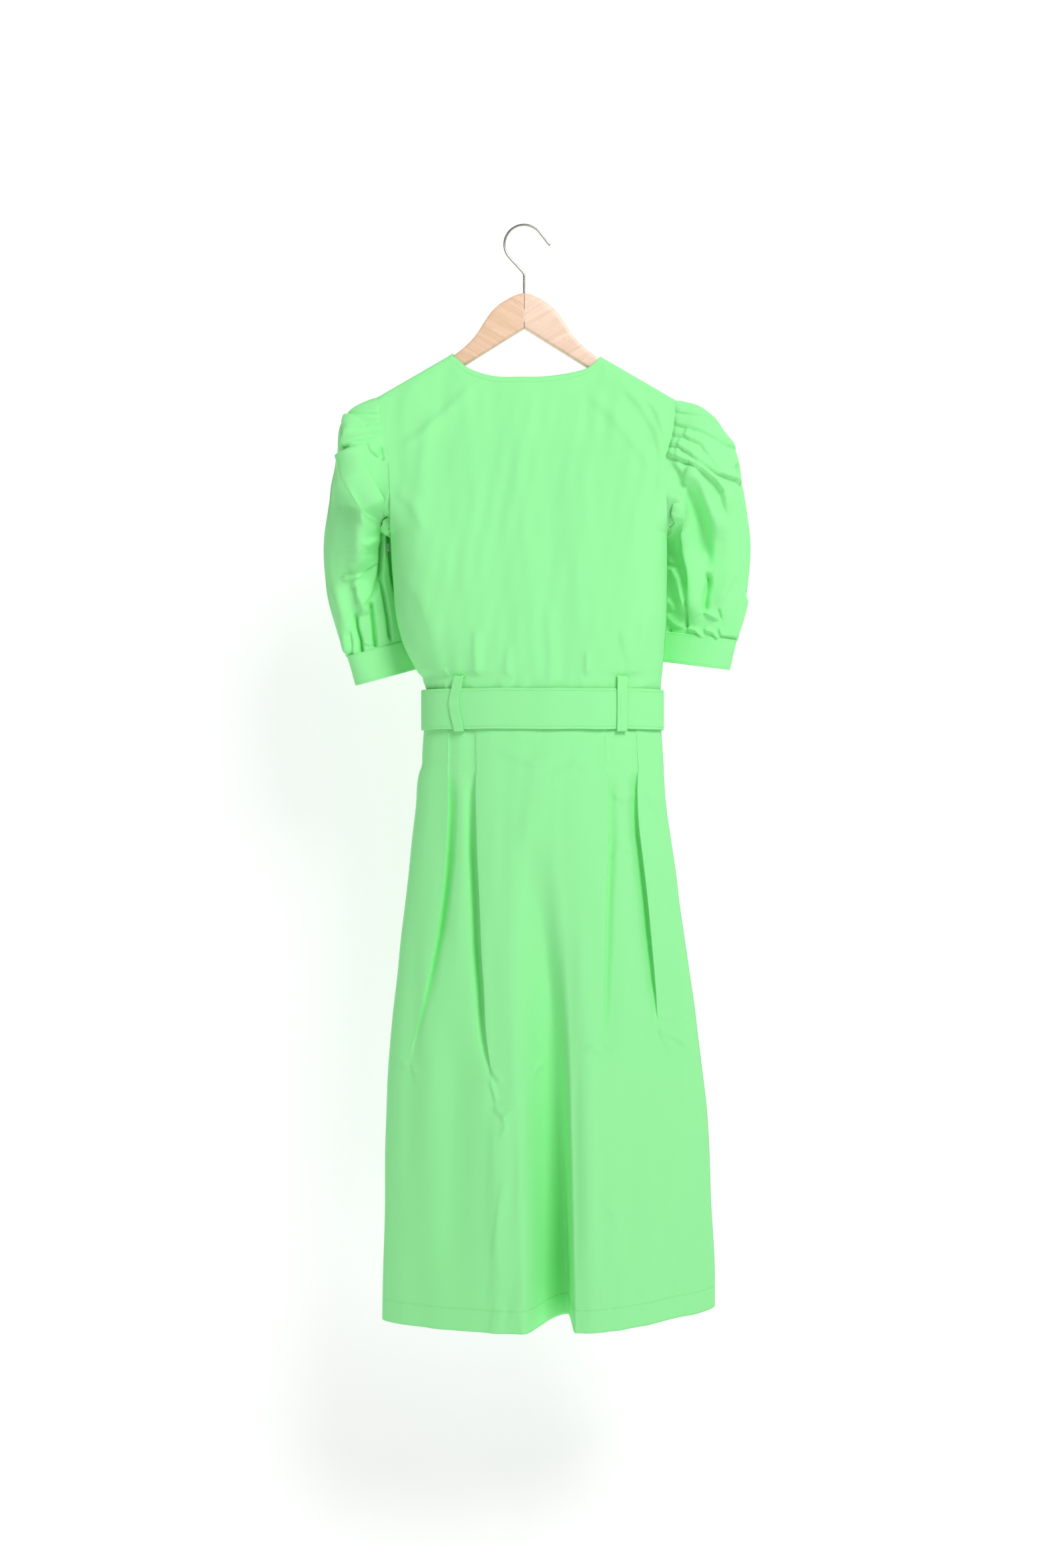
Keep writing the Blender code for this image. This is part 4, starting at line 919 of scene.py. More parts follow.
# ---------------------------------------------------------------- sleeves
# Each ring: outer end beyond the hanger's tip, its depth and height; inner end inside the side seam,
# its depth and height; half depth of the oval.
LEFT_RINGS = [(-9.0, 0.0, -228.0, 2.0, 4.0, -386.5, 30.0), (5.0, 2.0, -246.0, 5.0, 16.0, -388.5, 38.0),
              (11.0, 6.0, -285.0, 6.0, 36.0, -392.0, 40.0), (19.0, 14.0, -335.0, 8.0, 57.0, -398.0, 40.0),
              (27.0, 23.0, -392.0, 14.0, 69.0, -412.0, 38.0), (25.0, 26.0, -442.0, 20.0, 74.0, -438.0, 35.0),
              (12.0, 25.0, -495.0, 28.0, 77.0, -472.0, 31.0)]
RIGHT_RINGS = [(-4.0, 0.0, -224.0, 2.0, 4.0, -386.5, 30.0), (17.0, 2.0, -243.0, 5.0, 16.0, -388.5, 38.0),
               (41.0, 6.0, -276.0, 6.0, 36.0, -392.0, 40.0), (54.0, 14.0, -335.0, 6.0, 57.0, -398.0, 40.0),
               (62.0, 23.0, -390.0, 6.0, 69.0, -412.0, 38.0), (59.0, 26.0, -440.0, 8.0, 74.0, -438.0, 35.0),
               (51.0, 25.0, -485.0, 10.0, 77.0, -468.0, 31.0)]
LEFT_CUFF = ((0.0, -534.5), (-104.0, 28.0), (12.0, -37.0))
RIGHT_CUFF = ((45.0, -514.5), (-106.0, 13.0), (10.0, -37.5))
SLEEVE_COLS = 300


def oval_ring(outer, inner, half_depth, turn):
    """An oval between an outer and an inner end; its short axis is square to the line between them."""
    outer, inner = np.asarray(outer, float), np.asarray(inner, float)
    long = (outer - inner) / 2
    across = unit(np.array([0.0, 1.0, 0.0]) - long * long[1] / (long @ long))
    return (outer + inner) / 2 + long * np.cos(turn)[:, None] + across * half_depth * np.sin(turn)[:, None]


def cuff_ring(side, way, turn, grow=0.0):
    """The cuff's ring, a way in millimetres down from its top edge."""
    start, inward, down = LEFT_CUFF if side < 0 else RIGHT_CUFF
    length = np.hypot(*down)
    outer = np.array([side * (WOOD_REACH + start[0] + grow) - side * down[0] / length * way, 24.8,
                      start[1] + down[1] / length * way])
    inner = np.array([outer[0] - side * (abs(inward[0]) + 2 * grow), 80.0, outer[2] + inward[1]])
    ring = oval_ring(outer, inner, 27.0 + grow, turn)
    ring[:, 2] += 0.085 * (ring[:, 1] - ring[:, 1].min())
    return ring


def sleeve_turn():
    """Angles round the sleeve: 0 at the outer end, falling through the back to the inner end, with
    two thirds of the columns on the back."""
    u = np.linspace(0, 1, SLEEVE_COLS, endpoint=False)
    return -2 * pi * (u + 0.055 * np.sin(2 * pi * u))


def sleeve_rings(side, turn):
    """Control rings from the armhole's edge down to the top of the cuff."""
    centre = (float(wood_top(side_x(-221, side))) + 4.2 - 385.0) / 2
    half = centre + 385.0
    z = centre + half * np.cos(turn)
    opening = smooth(DEPTHS, z) * np.sqrt(np.clip(1 - smooth(CLOSING, np.minimum(z, -221)), 0, 1))
    y = np.sign(np.sin(turn)) * np.minimum(opening, 40.0 * np.abs(np.sin(turn)))
    x = side_x(z, side) - side * 1.5
    rings = [np.stack([away(x, np.minimum(y, 0)), y, z], axis=-1)]
    for out, out_y, out_z, past, in_y, in_z, half_depth in (LEFT_RINGS if side < 0 else RIGHT_RINGS):
        seam = float(side_x(in_z, side))
        rings.append(oval_ring((side * (WOOD_REACH + out), out_y, out_z), (seam - side * past, in_y, in_z),
                               half_depth, turn))
    rings.append(cuff_ring(side, 0.0, turn, -1.2))
    rings.append(cuff_ring(side, 5.0, turn, -1.2))
    return np.stack(rings)


def loft(rings, rows):
    """Rows of points along smooth curves through matching points of the rings."""
    gaps = np.linalg.norm(np.diff(rings, axis=0), axis=-1).mean(axis=1)
    place = np.concatenate([[0], np.cumsum(gaps)])
    slope = np.gradient(rings, place, axis=0)
    at = np.linspace(0, place[-1], rows)
    i = np.clip(np.searchsorted(place, at) - 1, 0, len(place) - 2)
    h = (place[i + 1] - place[i])[:, None, None]
    a, b, c, d = hermite((at - place[i])[:, None, None] / h)
    return a * rings[i] + b * h * slope[i] + c * rings[i + 1] + d * h * slope[i + 1], at


LEFT_SLEEVE_FOLDS = [
    (((-218, -237), (-200, -236), (-178, -235)), 2.4, 7.0, 1.0, 0.15, 0.02),
    (((-218, -260), (-200, -254), (-178, -248.5)), 2.8, 7.0, 1.0, 0.15, 0.02),
    (((-220, -280), (-206, -273), (-196, -269.5), (-176, -263)), 3.0, 7.0, 1.0, 0.1, 0.02),
    (((-216, -236), (-220, -250), (-218, -262), (-220, -280)), 6.0, 14.0, 1.6, 0.15, 0.05),
    (((-220, -280), (-213, -300), (-205, -322), (-196, -341), (-191, -348), (-197, -362), (-203, -380),
      (-206, -400), (-207, -417), (-202, -430), (-194, -438)), 11.0, 18.0, 11.0, 0.05, 0.16),
    (((-216, -292), (-205, -322), (-194, -345), (-200, -375), (-206, -405), (-203, -428)),
     8.0, 13.0, 26.0, 0.2, 0.25),
    (((-196, -271), (-190, -284), (-181, -290.5), (-170, -295)), 3.0, 8.0, 1.0, 0.3, 0.05),
    (((-177, -276), (-177, -285), (-173, -296)), -4.0, 2.0, 3.0, 0.3, 0.1),
    (((-170, -362), (-174, -375), (-178, -387), (-178.5, -425), (-182, -440), (-187, -455), (-192, -468)),
     -6.0, 1.6, 3.0, 0.1, 0.3),
    (((-166, -360), (-164, -400), (-160, -440), (-157, -464)), -12.0, 5.0, 5.0, 0.1, 0.3),
    (((-178, -388), (-178.5, -425), (-178, -440), (-174, -460), (-170, -485), (-167, -517)),
     -8.0, 1.2, 2.6, 0.1, 0.1),
    (((-204, -394), (-192, -389), (-178, -387)), 3.0, 4.0, 9.0, 0.3, 0.1),
    (((-230, -438), (-216, -437), (-203, -436)), 3.4, 4.0, 2.0, 0.3, 0.3),
    (((-219, -443), (-210, -448), (-209, -460), (-203, -475), (-201, -486)), 5.0, 10.0, 2.0, 0.2, 0.2),
    (((-188, -441), (-193, -455), (-203, -470), (-203, -480)), 3.0, 4.0, 9.0, 0.3, 0.3),
    (((-210, -476), (-209, -498), (-204, -514), (-203, -532)), -7.0, 1.6, 3.6, 0.2, 0.05),
    (((-191, -466), (-189, -480), (-187, -500), (-185, -524)), -8.0, 1.4, 3.4, 0.1, 0.05),
    (((-243, -440), (-232, -460), (-227, -480), (-222, -510), (-220, -536)), 4.0, 7.0, 8.0, 0.3, 0.1),
    (((-219, -500), (-217, -520), (-217, -536)), -3.5, 2.0, 3.0, 0.3, 0.05),
    (((-204, -516), (-196, -519), (-188, -520)), 2.0, 2.0, 2.0),
]
RIGHT_SLEEVE_FOLDS = [
    (((186, -233), (215, -239), (232, -245), (252, -256)), 2.0, 8.0, 0.9, 0.02, 0.4),
    (((183, -248), (205, -254), (220, -260), (236, -268), (250, -276), (266, -280)),
     3.0, 9.0, 1.0, 0.02, 0.15),
    (((180, -261), (200, -267), (218, -276), (224, -286), (232, -297), (242, -309), (248, -314)),
     3.0, 8.0, 1.1, 0.02, 0.2),
    (((177, -275), (192, -280), (205, -289), (213, -296), (225, -303), (236, -310), (248, -313), (262, -316),
      (272, -327)), 4.2, 9.0, 1.2, 0.02, 0.12),
    (((175, -288), (190, -295), (203, -299), (212, -305), (226, -313), (236, -320), (245, -331), (248, -345),
      (254, -366)), 5.5, 9.0, 1.6, 0.02, 0.25),
    (((201, -254), (200, -262), (198, -268)), 2.0, 5.0, 0.9),
    (((194, -267), (192, -274), (190, -281)), 2.0, 5.0, 0.9),
    (((189, -280), (188, -286), (187, -293)), 2.0, 5.0, 0.9),
    (((203, -300), (208, -318), (218, -335), (228, -352), (238, -372), (247, -396)),
     7.0, 12.0, 9.0, 0.1, 0.35),
    (((200, -312), (212, -340), (223, -370), (227, -400), (229, -430)), -8.0, 7.0, 10.0, 0.25, 0.25),
    (((228, -428), (229, -445), (226, -460), (225, -484)), -8.0, 4.5, 1.4, 0.2, 0.2),
    (((179, -330), (187, -350), (194, -370), (201, -400), (206, -420), (210, -440), (211, -455), (212, -470),
      (214, -485), (219, -496)), 9.0, 13.0, 8.0, 0.08, 0.2),
    (((190, -362), (197, -392), (205, -430), (207, -462)), -5.0, 2.0, 6.0, 0.3, 0.3),
    (((206, -460), (205.5, -480), (205, -500)), -5.0, 1.4, 1.8, 0.3, 0.1),
    (((182, -296), (190, -306), (204, -330)), 3.0, 8.0, 2.5),
    (((184, -355), (183, -370), (180, -386)), 3.0, 5.0, 2.5),
    (((176, -420), (190, -424), (196, -437), (199, -455), (205, -480)), 4.5, 2.2, 9.0, 0.1, 0.2),
    (((176, -398), (186, -414), (190, -418)), 2.5, 3.0, 5.0),
    (((178, -460), (186, -468), (190, -478)), 2.5, 3.0, 5.0),
    (((178, -478), (190, -492), (204, -500)), 3.0, 5.0, 2.0),
    (((222, -478), (236, -485), (246, -491)), 3.0, 4.0, 1.2),
    (((243, -474), (245, -482), (247, -491)), -3.0, 1.6, 2.0),
    (((266, -424), (252, -452), (243, -476)), 2.5, 5.0, 9.0),
    (((280, -455), (271, -488), (264, -512)), 3.5, 2.5, 7.0, 0.2, 0.05),
    (((262, -296), (270, -310), (274, -328)), -4.0, 4.0, 5.0),
    (((204, -499), (216, -502), (224, -512)), 3.0, 3.0, 1.2, 0.2, 0.05),
    (((225, -501), (236, -505), (243, -514)), 3.0, 3.0, 1.2, 0.2, 0.05),
    (((244, -498), (247, -508), (262, -509)), 3.0, 3.0, 1.2, 0.2, 0.1),
    (((184, -496), (186, -506), (187, -514)), -2.5, 1.6, 2.4, 0.3, 0.05),
]


def sleeve_points(side, rows=210):
    """A puffed sleeve: lofted rings, raised along their normals by knife pleats that open out from the
    armhole, pleats that gather into the cuff, long folds across the back and soft unevenness."""
    turn = sleeve_turn()
    rings = sleeve_rings(side, turn)
    points, run = loft(rings, rows)
    normal = normals_of(points, True)
    centre = points.mean(axis=1, keepdims=True)
    normal = normal * np.sign((normal * (points - centre)).sum(axis=-1, keepdims=True))
    back = ease(-normal[..., 1] * 1.6 + 0.15)
    length = run[-1]
    way = run[:, None]
    angle = -turn
    count = 19
    phase = (angle * count / (2 * pi) + 0.1 * np.sin(3 * angle)) % 1.0
    saw = ease(phase / 0.16) * (1 - phase) ** 0.9
    front = 1 - back
    gather = np.exp(-((length - 5 - way) / 34.0) ** 2) + 0.8 * np.exp(-(way / 42.0) ** 2) * ease(way / 5.0)
    rise = 5.0 * (saw[None, :] - 0.35) * gather * front
    x, z = points[..., 0], points[..., 2]
    folds = 1.45 * creases(x, z, LEFT_SLEEVE_FOLDS if side < 0 else RIGHT_SLEEVE_FOLDS)
    body = ease(way / 12.0) * ease((length - way) / 26.0)
    rise = rise + folds * back * ease(way / 4.0 + 0.25)
    swell = ripple(angle[None, :] * 45.0, way, 64.0, 300.0, 51 + side, 9)
    rise = rise + (1.8 * swell + 0.6 * ripple(angle[None, :] * 45.0, way, 20.0, 90.0, 61 + side, 10)) * body
    rise = rise + 3.5 * ripple(angle[None, :] * 45.0, way, 34.0, 420.0, 71 + side, 7) * body * front
    inside = ease((length - 1.0 - way) / 4.0)
    rise = rise * np.where(way > length - 6.0, inside, 1.0)
    return points + normal * rise[..., None]


# ---------------------------------------------------------------- belt
WAIST_MID = (WAIST_LEFT + WAIST_RIGHT) / 2
WAIST_HALF = (WAIST_RIGHT - WAIST_LEFT) / 2
BELT_MID_Z = (BELT_TOP + BELT_BOTTOM) / 2
BELT_HALF_H = (BELT_TOP - BELT_BOTTOM) / 2
BUCKLE_HALF = 18.0
FIRST = 2.95                     # middle of the belt's inner layer off the waist
FOLD_R = 2.65                    # belt end round the buckle's member
LAYER = 2.0


def waist_point(angle, offset):
    return (WAIST_MID + (WAIST_HALF + offset) * cos(angle), (WAIST_DEPTH + offset) * sin(angle))


def front_point(run, offset):
    x = run / WAIST_HALF
    y = WAIST_DEPTH * np.sqrt(1 - x * x)
    tilt = np.arctan2(WAIST_DEPTH * x, WAIST_HALF * np.sqrt(1 - x * x))
    return (WAIST_MID + run + offset * sin(tilt), y + offset * cos(tilt))


def front_angle(run):
    return float(np.arctan2(np.sqrt(1 - (run / WAIST_HALF) ** 2), run / WAIST_HALF))


def belt_path():
    """Middle line of the belt in plan: its end folded on the buckle, once round the waist, then its
    tongue through the buckle and over the folded end."""
    path = [front_point(run, FIRST) for run in (46.0, 34.0, BUCKLE_HALF + 5.0)]
    centre = front_point(BUCKLE_HALF, FIRST + FOLD_R)
    for angle in np.linspace(-pi / 2, -1.5 * pi, 9):
        path.append((centre[0] + FOLD_R * cos(angle), centre[1] + FOLD_R * sin(angle)))
    path += [front_point(BUCKLE_HALF + 16.0, FIRST + LAYER), front_point(46.0, FIRST + LAYER),
             front_point(62.0, FIRST)]
    once_round = np.linspace(front_angle(74.0), front_angle(-60.0) - 2 * pi, 60)
    path += [waist_point(angle, FIRST) for angle in once_round]
    high = FIRST + 2 * FOLD_R + LAYER
    second, third = FIRST + LAYER, FIRST + 2 * LAYER
    tongue = ((-45.0, FIRST), (-30.0, FIRST), (-12.0, FIRST), (0.0, FIRST + 3.2), (10.0, high - 0.6),
              (14.0, high), (22.0, high), (BUCKLE_HALF + 17.0, third), (47.0, third), (63.0, second),
              (78.0, second), (92.0, second), (100.0, second))
    path += [front_point(run, offset) for run, offset in tongue]
    return resample(np.array(path), 2.0)


def band_points(path, out, centre_z, half_height, half_thick, turn=28):
    """A strap: a thin upright section with round edges carried along a plan path; `out` points away
    from the wearer. The section's corners follow a squared circle, cos and sin to the power 0.35."""
    angle = np.arange(turn) * 2 * pi / turn + pi / turn
    up = np.sign(np.sin(angle)) * np.abs(np.sin(angle)) ** 0.55
    side = np.sign(np.cos(angle)) * np.abs(np.cos(angle)) ** 0.3
    xy = path[:, None, :] + out[:, None, :] * (side * half_thick)[None, :, None]
    z = centre_z[:, None] + up[None, :] * np.broadcast_to(half_height, (len(path),))[:, None]
    return np.concatenate([xy, z[..., None]], axis=-1)


def on_waist(angle, offset):
    """A place on the waist's oval, the direction along it and the direction outwards."""
    x, y = waist_point(angle, offset)
    ahead = np.array([-(WAIST_HALF + offset) * sin(angle), (WAIST_DEPTH + offset) * cos(angle)])
    ahead /= np.linalg.norm(ahead)
    return np.array([x, y]), ahead, np.array([ahead[1], -ahead[0]])


def loop_points(angle, bow=0.0, outline=None, width=13.0, thick=0.6):
    """A belt loop: a flat tape carried along a path in the plane across the belt; bow shifts its middle."""
    foot, ahead, out = on_waist(angle, 0.0)
    top, low = BELT_TOP + 15.0, BELT_BOTTOM - 2.2
    path = outline or [(1.8, top - 1.0), (4.0, top), (5.2, top - 1.2), (5.3, top - 14), (5.0, BELT_MID_Z),
                       (5.2, low + 4), (5.0, low + 0.6), (3.8, low), (1.8, low + 0.4)]
    line = resample(np.array(path), 0.8)
    direction = unit(np.gradient(line, axis=0))
    normal = np.stack([-direction[:, 1], direction[:, 0]], axis=1)
    turn = np.arange(28) * 2 * pi / 28 + pi / 28
    wide = np.sign(np.cos(turn)) * np.abs(np.cos(turn)) ** 0.4 * width / 2
    deep = np.sign(np.sin(turn)) * np.abs(np.sin(turn)) ** 0.3 * thick
    share = np.linspace(0, 1, len(line))
    shift = bow * np.sin(pi * share) ** 2
    n = line[:, None, 0] + normal[:, None, 0] * deep[None, :]
    z = line[:, None, 1] + normal[:, None, 1] * deep[None, :]
    n = n + 0.25 * np.sin(share * 23)[:, None] * np.cos(turn)[None, :]
    s = wide[None, :] + shift[:, None]
    xy = foot[None, None, :] + out[None, None, :] * n[..., None] + ahead[None, None, :] * s[..., None]
    return np.concatenate([xy, z[..., None]], axis=-1)


# ---------------------------------------------------------------- hanger and hook
def hook_path():
    """Middle line of the hook: straight tip, round, then a lean back onto the shank."""
    start, neck = radians(38), radians(42)
    points = []
    for run in (21.0, 18.0, 12.0, 6.0):
        points.append((HOOK_ROUND * cos(start) + run * sin(start),
                       HOOK_CENTRE + HOOK_ROUND * sin(start) - run * cos(start)))
    for angle in np.linspace(start, pi + neck, 60):
        points.append((HOOK_ROUND * cos(angle), HOOK_CENTRE + HOOK_ROUND * sin(angle)))
    slant = (sin(neck), -cos(neck))
    run = -points[-1][0] / slant[0]
    corner = points[-1][1] + run * slant[1]
    bend = 6.0 * np.tan(neck / 2)
    for share in np.linspace(0, neck, 14):
        points.append((-6.0 * (1 - cos(neck - share)), corner - bend + 6.0 * sin(neck - share)))
    for z in np.linspace(corner - bend - 2.0, WOOD_TOP - 19.5, 8):
        points.append((0.0, z))
    return np.array([(x, 0.0, z) for x, z in points])


def board_points(side):
    """Half of the hanger: an upright rounded section, between the lower and upper edges, at each
    station out to a rounded tip."""
    x = np.concatenate([np.linspace(0.2, 100.0, 90), np.linspace(101.5, WOOD_REACH - 8.0, 50),
                        WOOD_REACH - 8.0 + 8.0 * np.sin(np.linspace(0.08, 1, 14) * pi / 2)])
    tip = np.clip((x - (WOOD_REACH - 8.0)) / 8.0, 0, 1)
    keep = np.sqrt(np.clip(1 - tip ** 2, 0.0025, 1))
    top, low = wood_top(x), wood_under(x)
    middle, half = (top + low) / 2, (top - low) / 2 * keep
    deep = WOOD_HALF * (0.35 + 0.65 * keep)
    turn = np.arange(64) * 2 * pi / 64
    radius = np.minimum(4.5, half * 0.95)[:, None]
    cu, su = np.cos(turn)[None, :], np.sin(turn)[None, :]
    y = np.sign(cu) * (deep[:, None] - radius) * np.minimum(np.abs(cu) * 6, 1) + radius * cu
    z = np.sign(su) * (half[:, None] - radius) * np.minimum(np.abs(su) * 6, 1) + radius * su
    return np.stack([np.broadcast_to(side * x[:, None], y.shape), y, middle[:, None] + z], axis=-1)


# ---------------------------------------------------------------- joining pieces to the frame
def place(made, body, nodes, slot):
    """Fix a finished piece to its body, in place of its CAD nodes. The slot argument is not used."""
    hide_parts(*nodes)
    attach(made, body)
    return made


def sewn(name, path, normal, body, bend=None):
    """A row of stitches that moves with its cloth."""
    made = stitches(name, path, normal, thread())
    if bend:
        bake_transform(made)
    else:
        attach(made, body)
    return made


def tailored(name, points, body, nodes, wrap=False, caps=False, outwards=None, thickness=0.0):
    """A piece of the dress's own cotton, fixed to its body in place of its CAD nodes."""
    made = grid_object(name, points, cotton(), wrap, outwards, thickness, caps)
    return place(made, body, nodes, "dress_cotton")


def recolour(name, finish):
    """A better material on a CAD node that stays."""
    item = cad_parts[name]
    item.data.materials.clear()
    item.data.materials.append(finish)


class Piece(bpy.types.Operator):
    """Base of the operators below."""
    bl_options = {"REGISTER", "UNDO"}

    def execute(self, context):
        self.build(context)
        return {"FINISHED"}


class DRESS_OT_hook(Piece):
    """The wire hook: a round section carried along its bent path, closed by a small dome at the tip"""
    bl_idname = "dress.hook"
    bl_label = "Hook"

    def build(self, context):
        path = hook_path()
        fine = resample(path, 0.8)
        run = np.arange(len(fine)) * 0.8
        radius = 1.5 * np.sqrt(np.clip(run / 1.5, 0.02, 1) * (2 - np.clip(run / 1.5, 0, 1)))
        steel = metal("hook_nickel", context.scene.dress_colours.steel, 0.30)
        made = grid_object("hook_wire", tube(fine, radius, 28), steel, wrap=True, caps=True)
        place(made, "hook", ["hook"], "hook_steel")


class DRESS_OT_hanger(Piece):
    """The two boards of the hanger, the key in their joint and the hook's pin"""
    bl_idname = "dress.hanger"
    bl_label = "Hanger"

    def build(self, context):
        colours = context.scene.dress_colours
        arm_lean = 0.525          # radians
        for side, word, colour in ((-1, "left", colours.wood_left), (1, "right", colours.wood_right)):
            finish = beech("beech_" + word, colour, side * arm_lean)
            made = grid_object(word + "_board", board_points(side), finish, wrap=True, caps=True)
            place(made, "hanger", ["hanger_%s_half" % word], "beech")
        recolour("hanger_spline", beech("key_wood", (0.95, 0.80, 0.62), 1.2))
        recolour("hook_pin", metal("pin_brass", (0.78, 0.62, 0.34), 0.3))


class DRESS_OT_bodice(Piece):
    """Back and front bodice panels, and the facings inside the neck edge"""
    bl_idname = "dress.bodice"
    bl_label = "Bodice"

    def build(self, context):
        thick = context.scene.dress_sizes.cloth / MM
        for word, facing in (("back", -1), ("front", 1)):
            points = bodice_points(facing)
            made = tailored(word + "_bodice_cloth", points, "dress", [word + "_bodice"],
                            outwards=(0, facing, 0), thickness=thick)
            line, normal = row_line(points[:, NECK_COLUMNS], 6.0, 0.1)
            sewn(word + "_neck_stitches", line, normal, "dress")
            rows = points[::-1, FACING_COLUMNS][:22]
            inner = rows + np.array([0.0, -facing * 1.9, 0.0])
            inner[..., 1] = np.where(np.abs(inner[..., 1]) < 1.0, facing * 1.0, inner[..., 1])
            inner[0, :, 2] -= 0.2
            strip = grid_object(word + "_facing_cloth", inner, cotton("facing_cotton", 0.93),
                                outwards=(0, -facing, 0), thickness=0.4)
            place(strip, "dress", ["neck_facing_" + word], "facing_cotton")


class DRESS_OT_skirt(Piece):
    """Back and front skirt panels with released pleats, a hem and its stitching"""
    bl_idname = "dress.skirt"
    bl_label = "Skirt"

    def build(self, context):
        sizes = context.scene.dress_sizes
        thick = sizes.cloth / MM
        for word, facing in (("back", -1), ("front", 1)):
            points = skirt_points(facing)
            made = tailored(word + "_skirt_cloth", points, "dress", [word + "_skirt"],
                            outwards=(0, facing, 0), thickness=thick)
            line, normal = row_line(points, sizes.hem / MM, 0.15)
            sewn(word + "_hem_stitches", line, normal, "dress")
            if facing < 0:
                self.tucks(points)

    def tucks(self, points):
        """Two rows of stitches on each tuck, from the belt down to where it opens."""
        z = np.arange(-632.0, -680.0, -1.0)
        for k, (table, lean) in enumerate(((PLEATS_BACK[0][0], -2.0), (PLEATS_BACK[1][0], 2.0),
                                           (PLEATS_BACK[2][0], -2.0), (PLEATS_BACK[3][0], 2.0))):
            x = smooth(table, z) + lean
            x = VIEW_X + (x - VIEW_X) * 0.976
            line, _ = surface_line(points, x, z, 0.1)
            line[:, 0] = x
            line[:, 2] = z
            line[:, 1] = np.convolve(np.pad(line[:, 1], 4, mode="edge"), np.ones(9) / 9, mode="valid")
            sewn("tuck_stitches_%d" % (k + 1), line, np.array([0.0, -1.0, 0.0]), "dress")


class DRESS_OT_sleeves(Piece):
    """The two puffed sleeves, each lofted from the armhole's edge into the sleeve"""
    bl_idname = "dress.sleeves"
    bl_label = "Sleeves"

    def build(self, context):
        for side, word in ((-1, "left"), (1, "right")):
            points = sleeve_points(side)
            made = grid_object(word + "_sleeve_cloth", points, cotton(), wrap=True)
            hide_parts(word + "_sleeve")
            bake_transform(made)


class DRESS_OT_cuffs(Piece):
    """The narrow cuffs: a doubled band round each sleeve's end, stitched near its upper edge"""
    bl_idname = "dress.cuffs"
    bl_label = "Cuffs"

    def build(self, context):
        turn = np.linspace(0, -2 * pi, 320, endpoint=False)
        for side, word in ((-1, "left"), (1, "right")):
            rounds = []
            fall = np.linspace(0, 1, 26)
            section = [(0.6, -1.3), (0.35, -0.5), (0.0, 0.1)]
            section += [(0.2 + 38.6 * f, 0.5) for f in fall]
            section += [(39.0, 0.1), (38.9, -0.6), (38.4, -1.1)]
            section += [(38.0 - 34.0 * f, -1.4) for f in fall[::3]]
            for way, grow in section:
                ring = cuff_ring(side, way, turn, grow)
                out = unit(ring - ring.mean(axis=0))
                angle = -turn
                wave = 0.5 * np.sin(3 * angle + way / 14) + 0.35 * np.sin(5 * angle - way / 9 + 1.0)
                wave = wave + 0.28 * np.sin(15 * angle + 0.6 * np.sin(way / 6)) * np.exp(-way / 9.0)
                ring = ring + out * wave[:, None]
                rounds.append(ring)
            rounds.append(rounds[0].copy())
            points = np.stack(rounds)
            made = tailored(word + "_cuff_cloth", points, word + "_sleeve", [word + "_cuff"], wrap=True)
            for k, row in (("top", 4), ("low", 26)):
                ring = points[row]
                out = unit(ring - ring.mean(axis=0))
                sewn("%s_cuff_stitches_%s" % (word, k), ring + out * 0.15, out, word + "_sleeve")


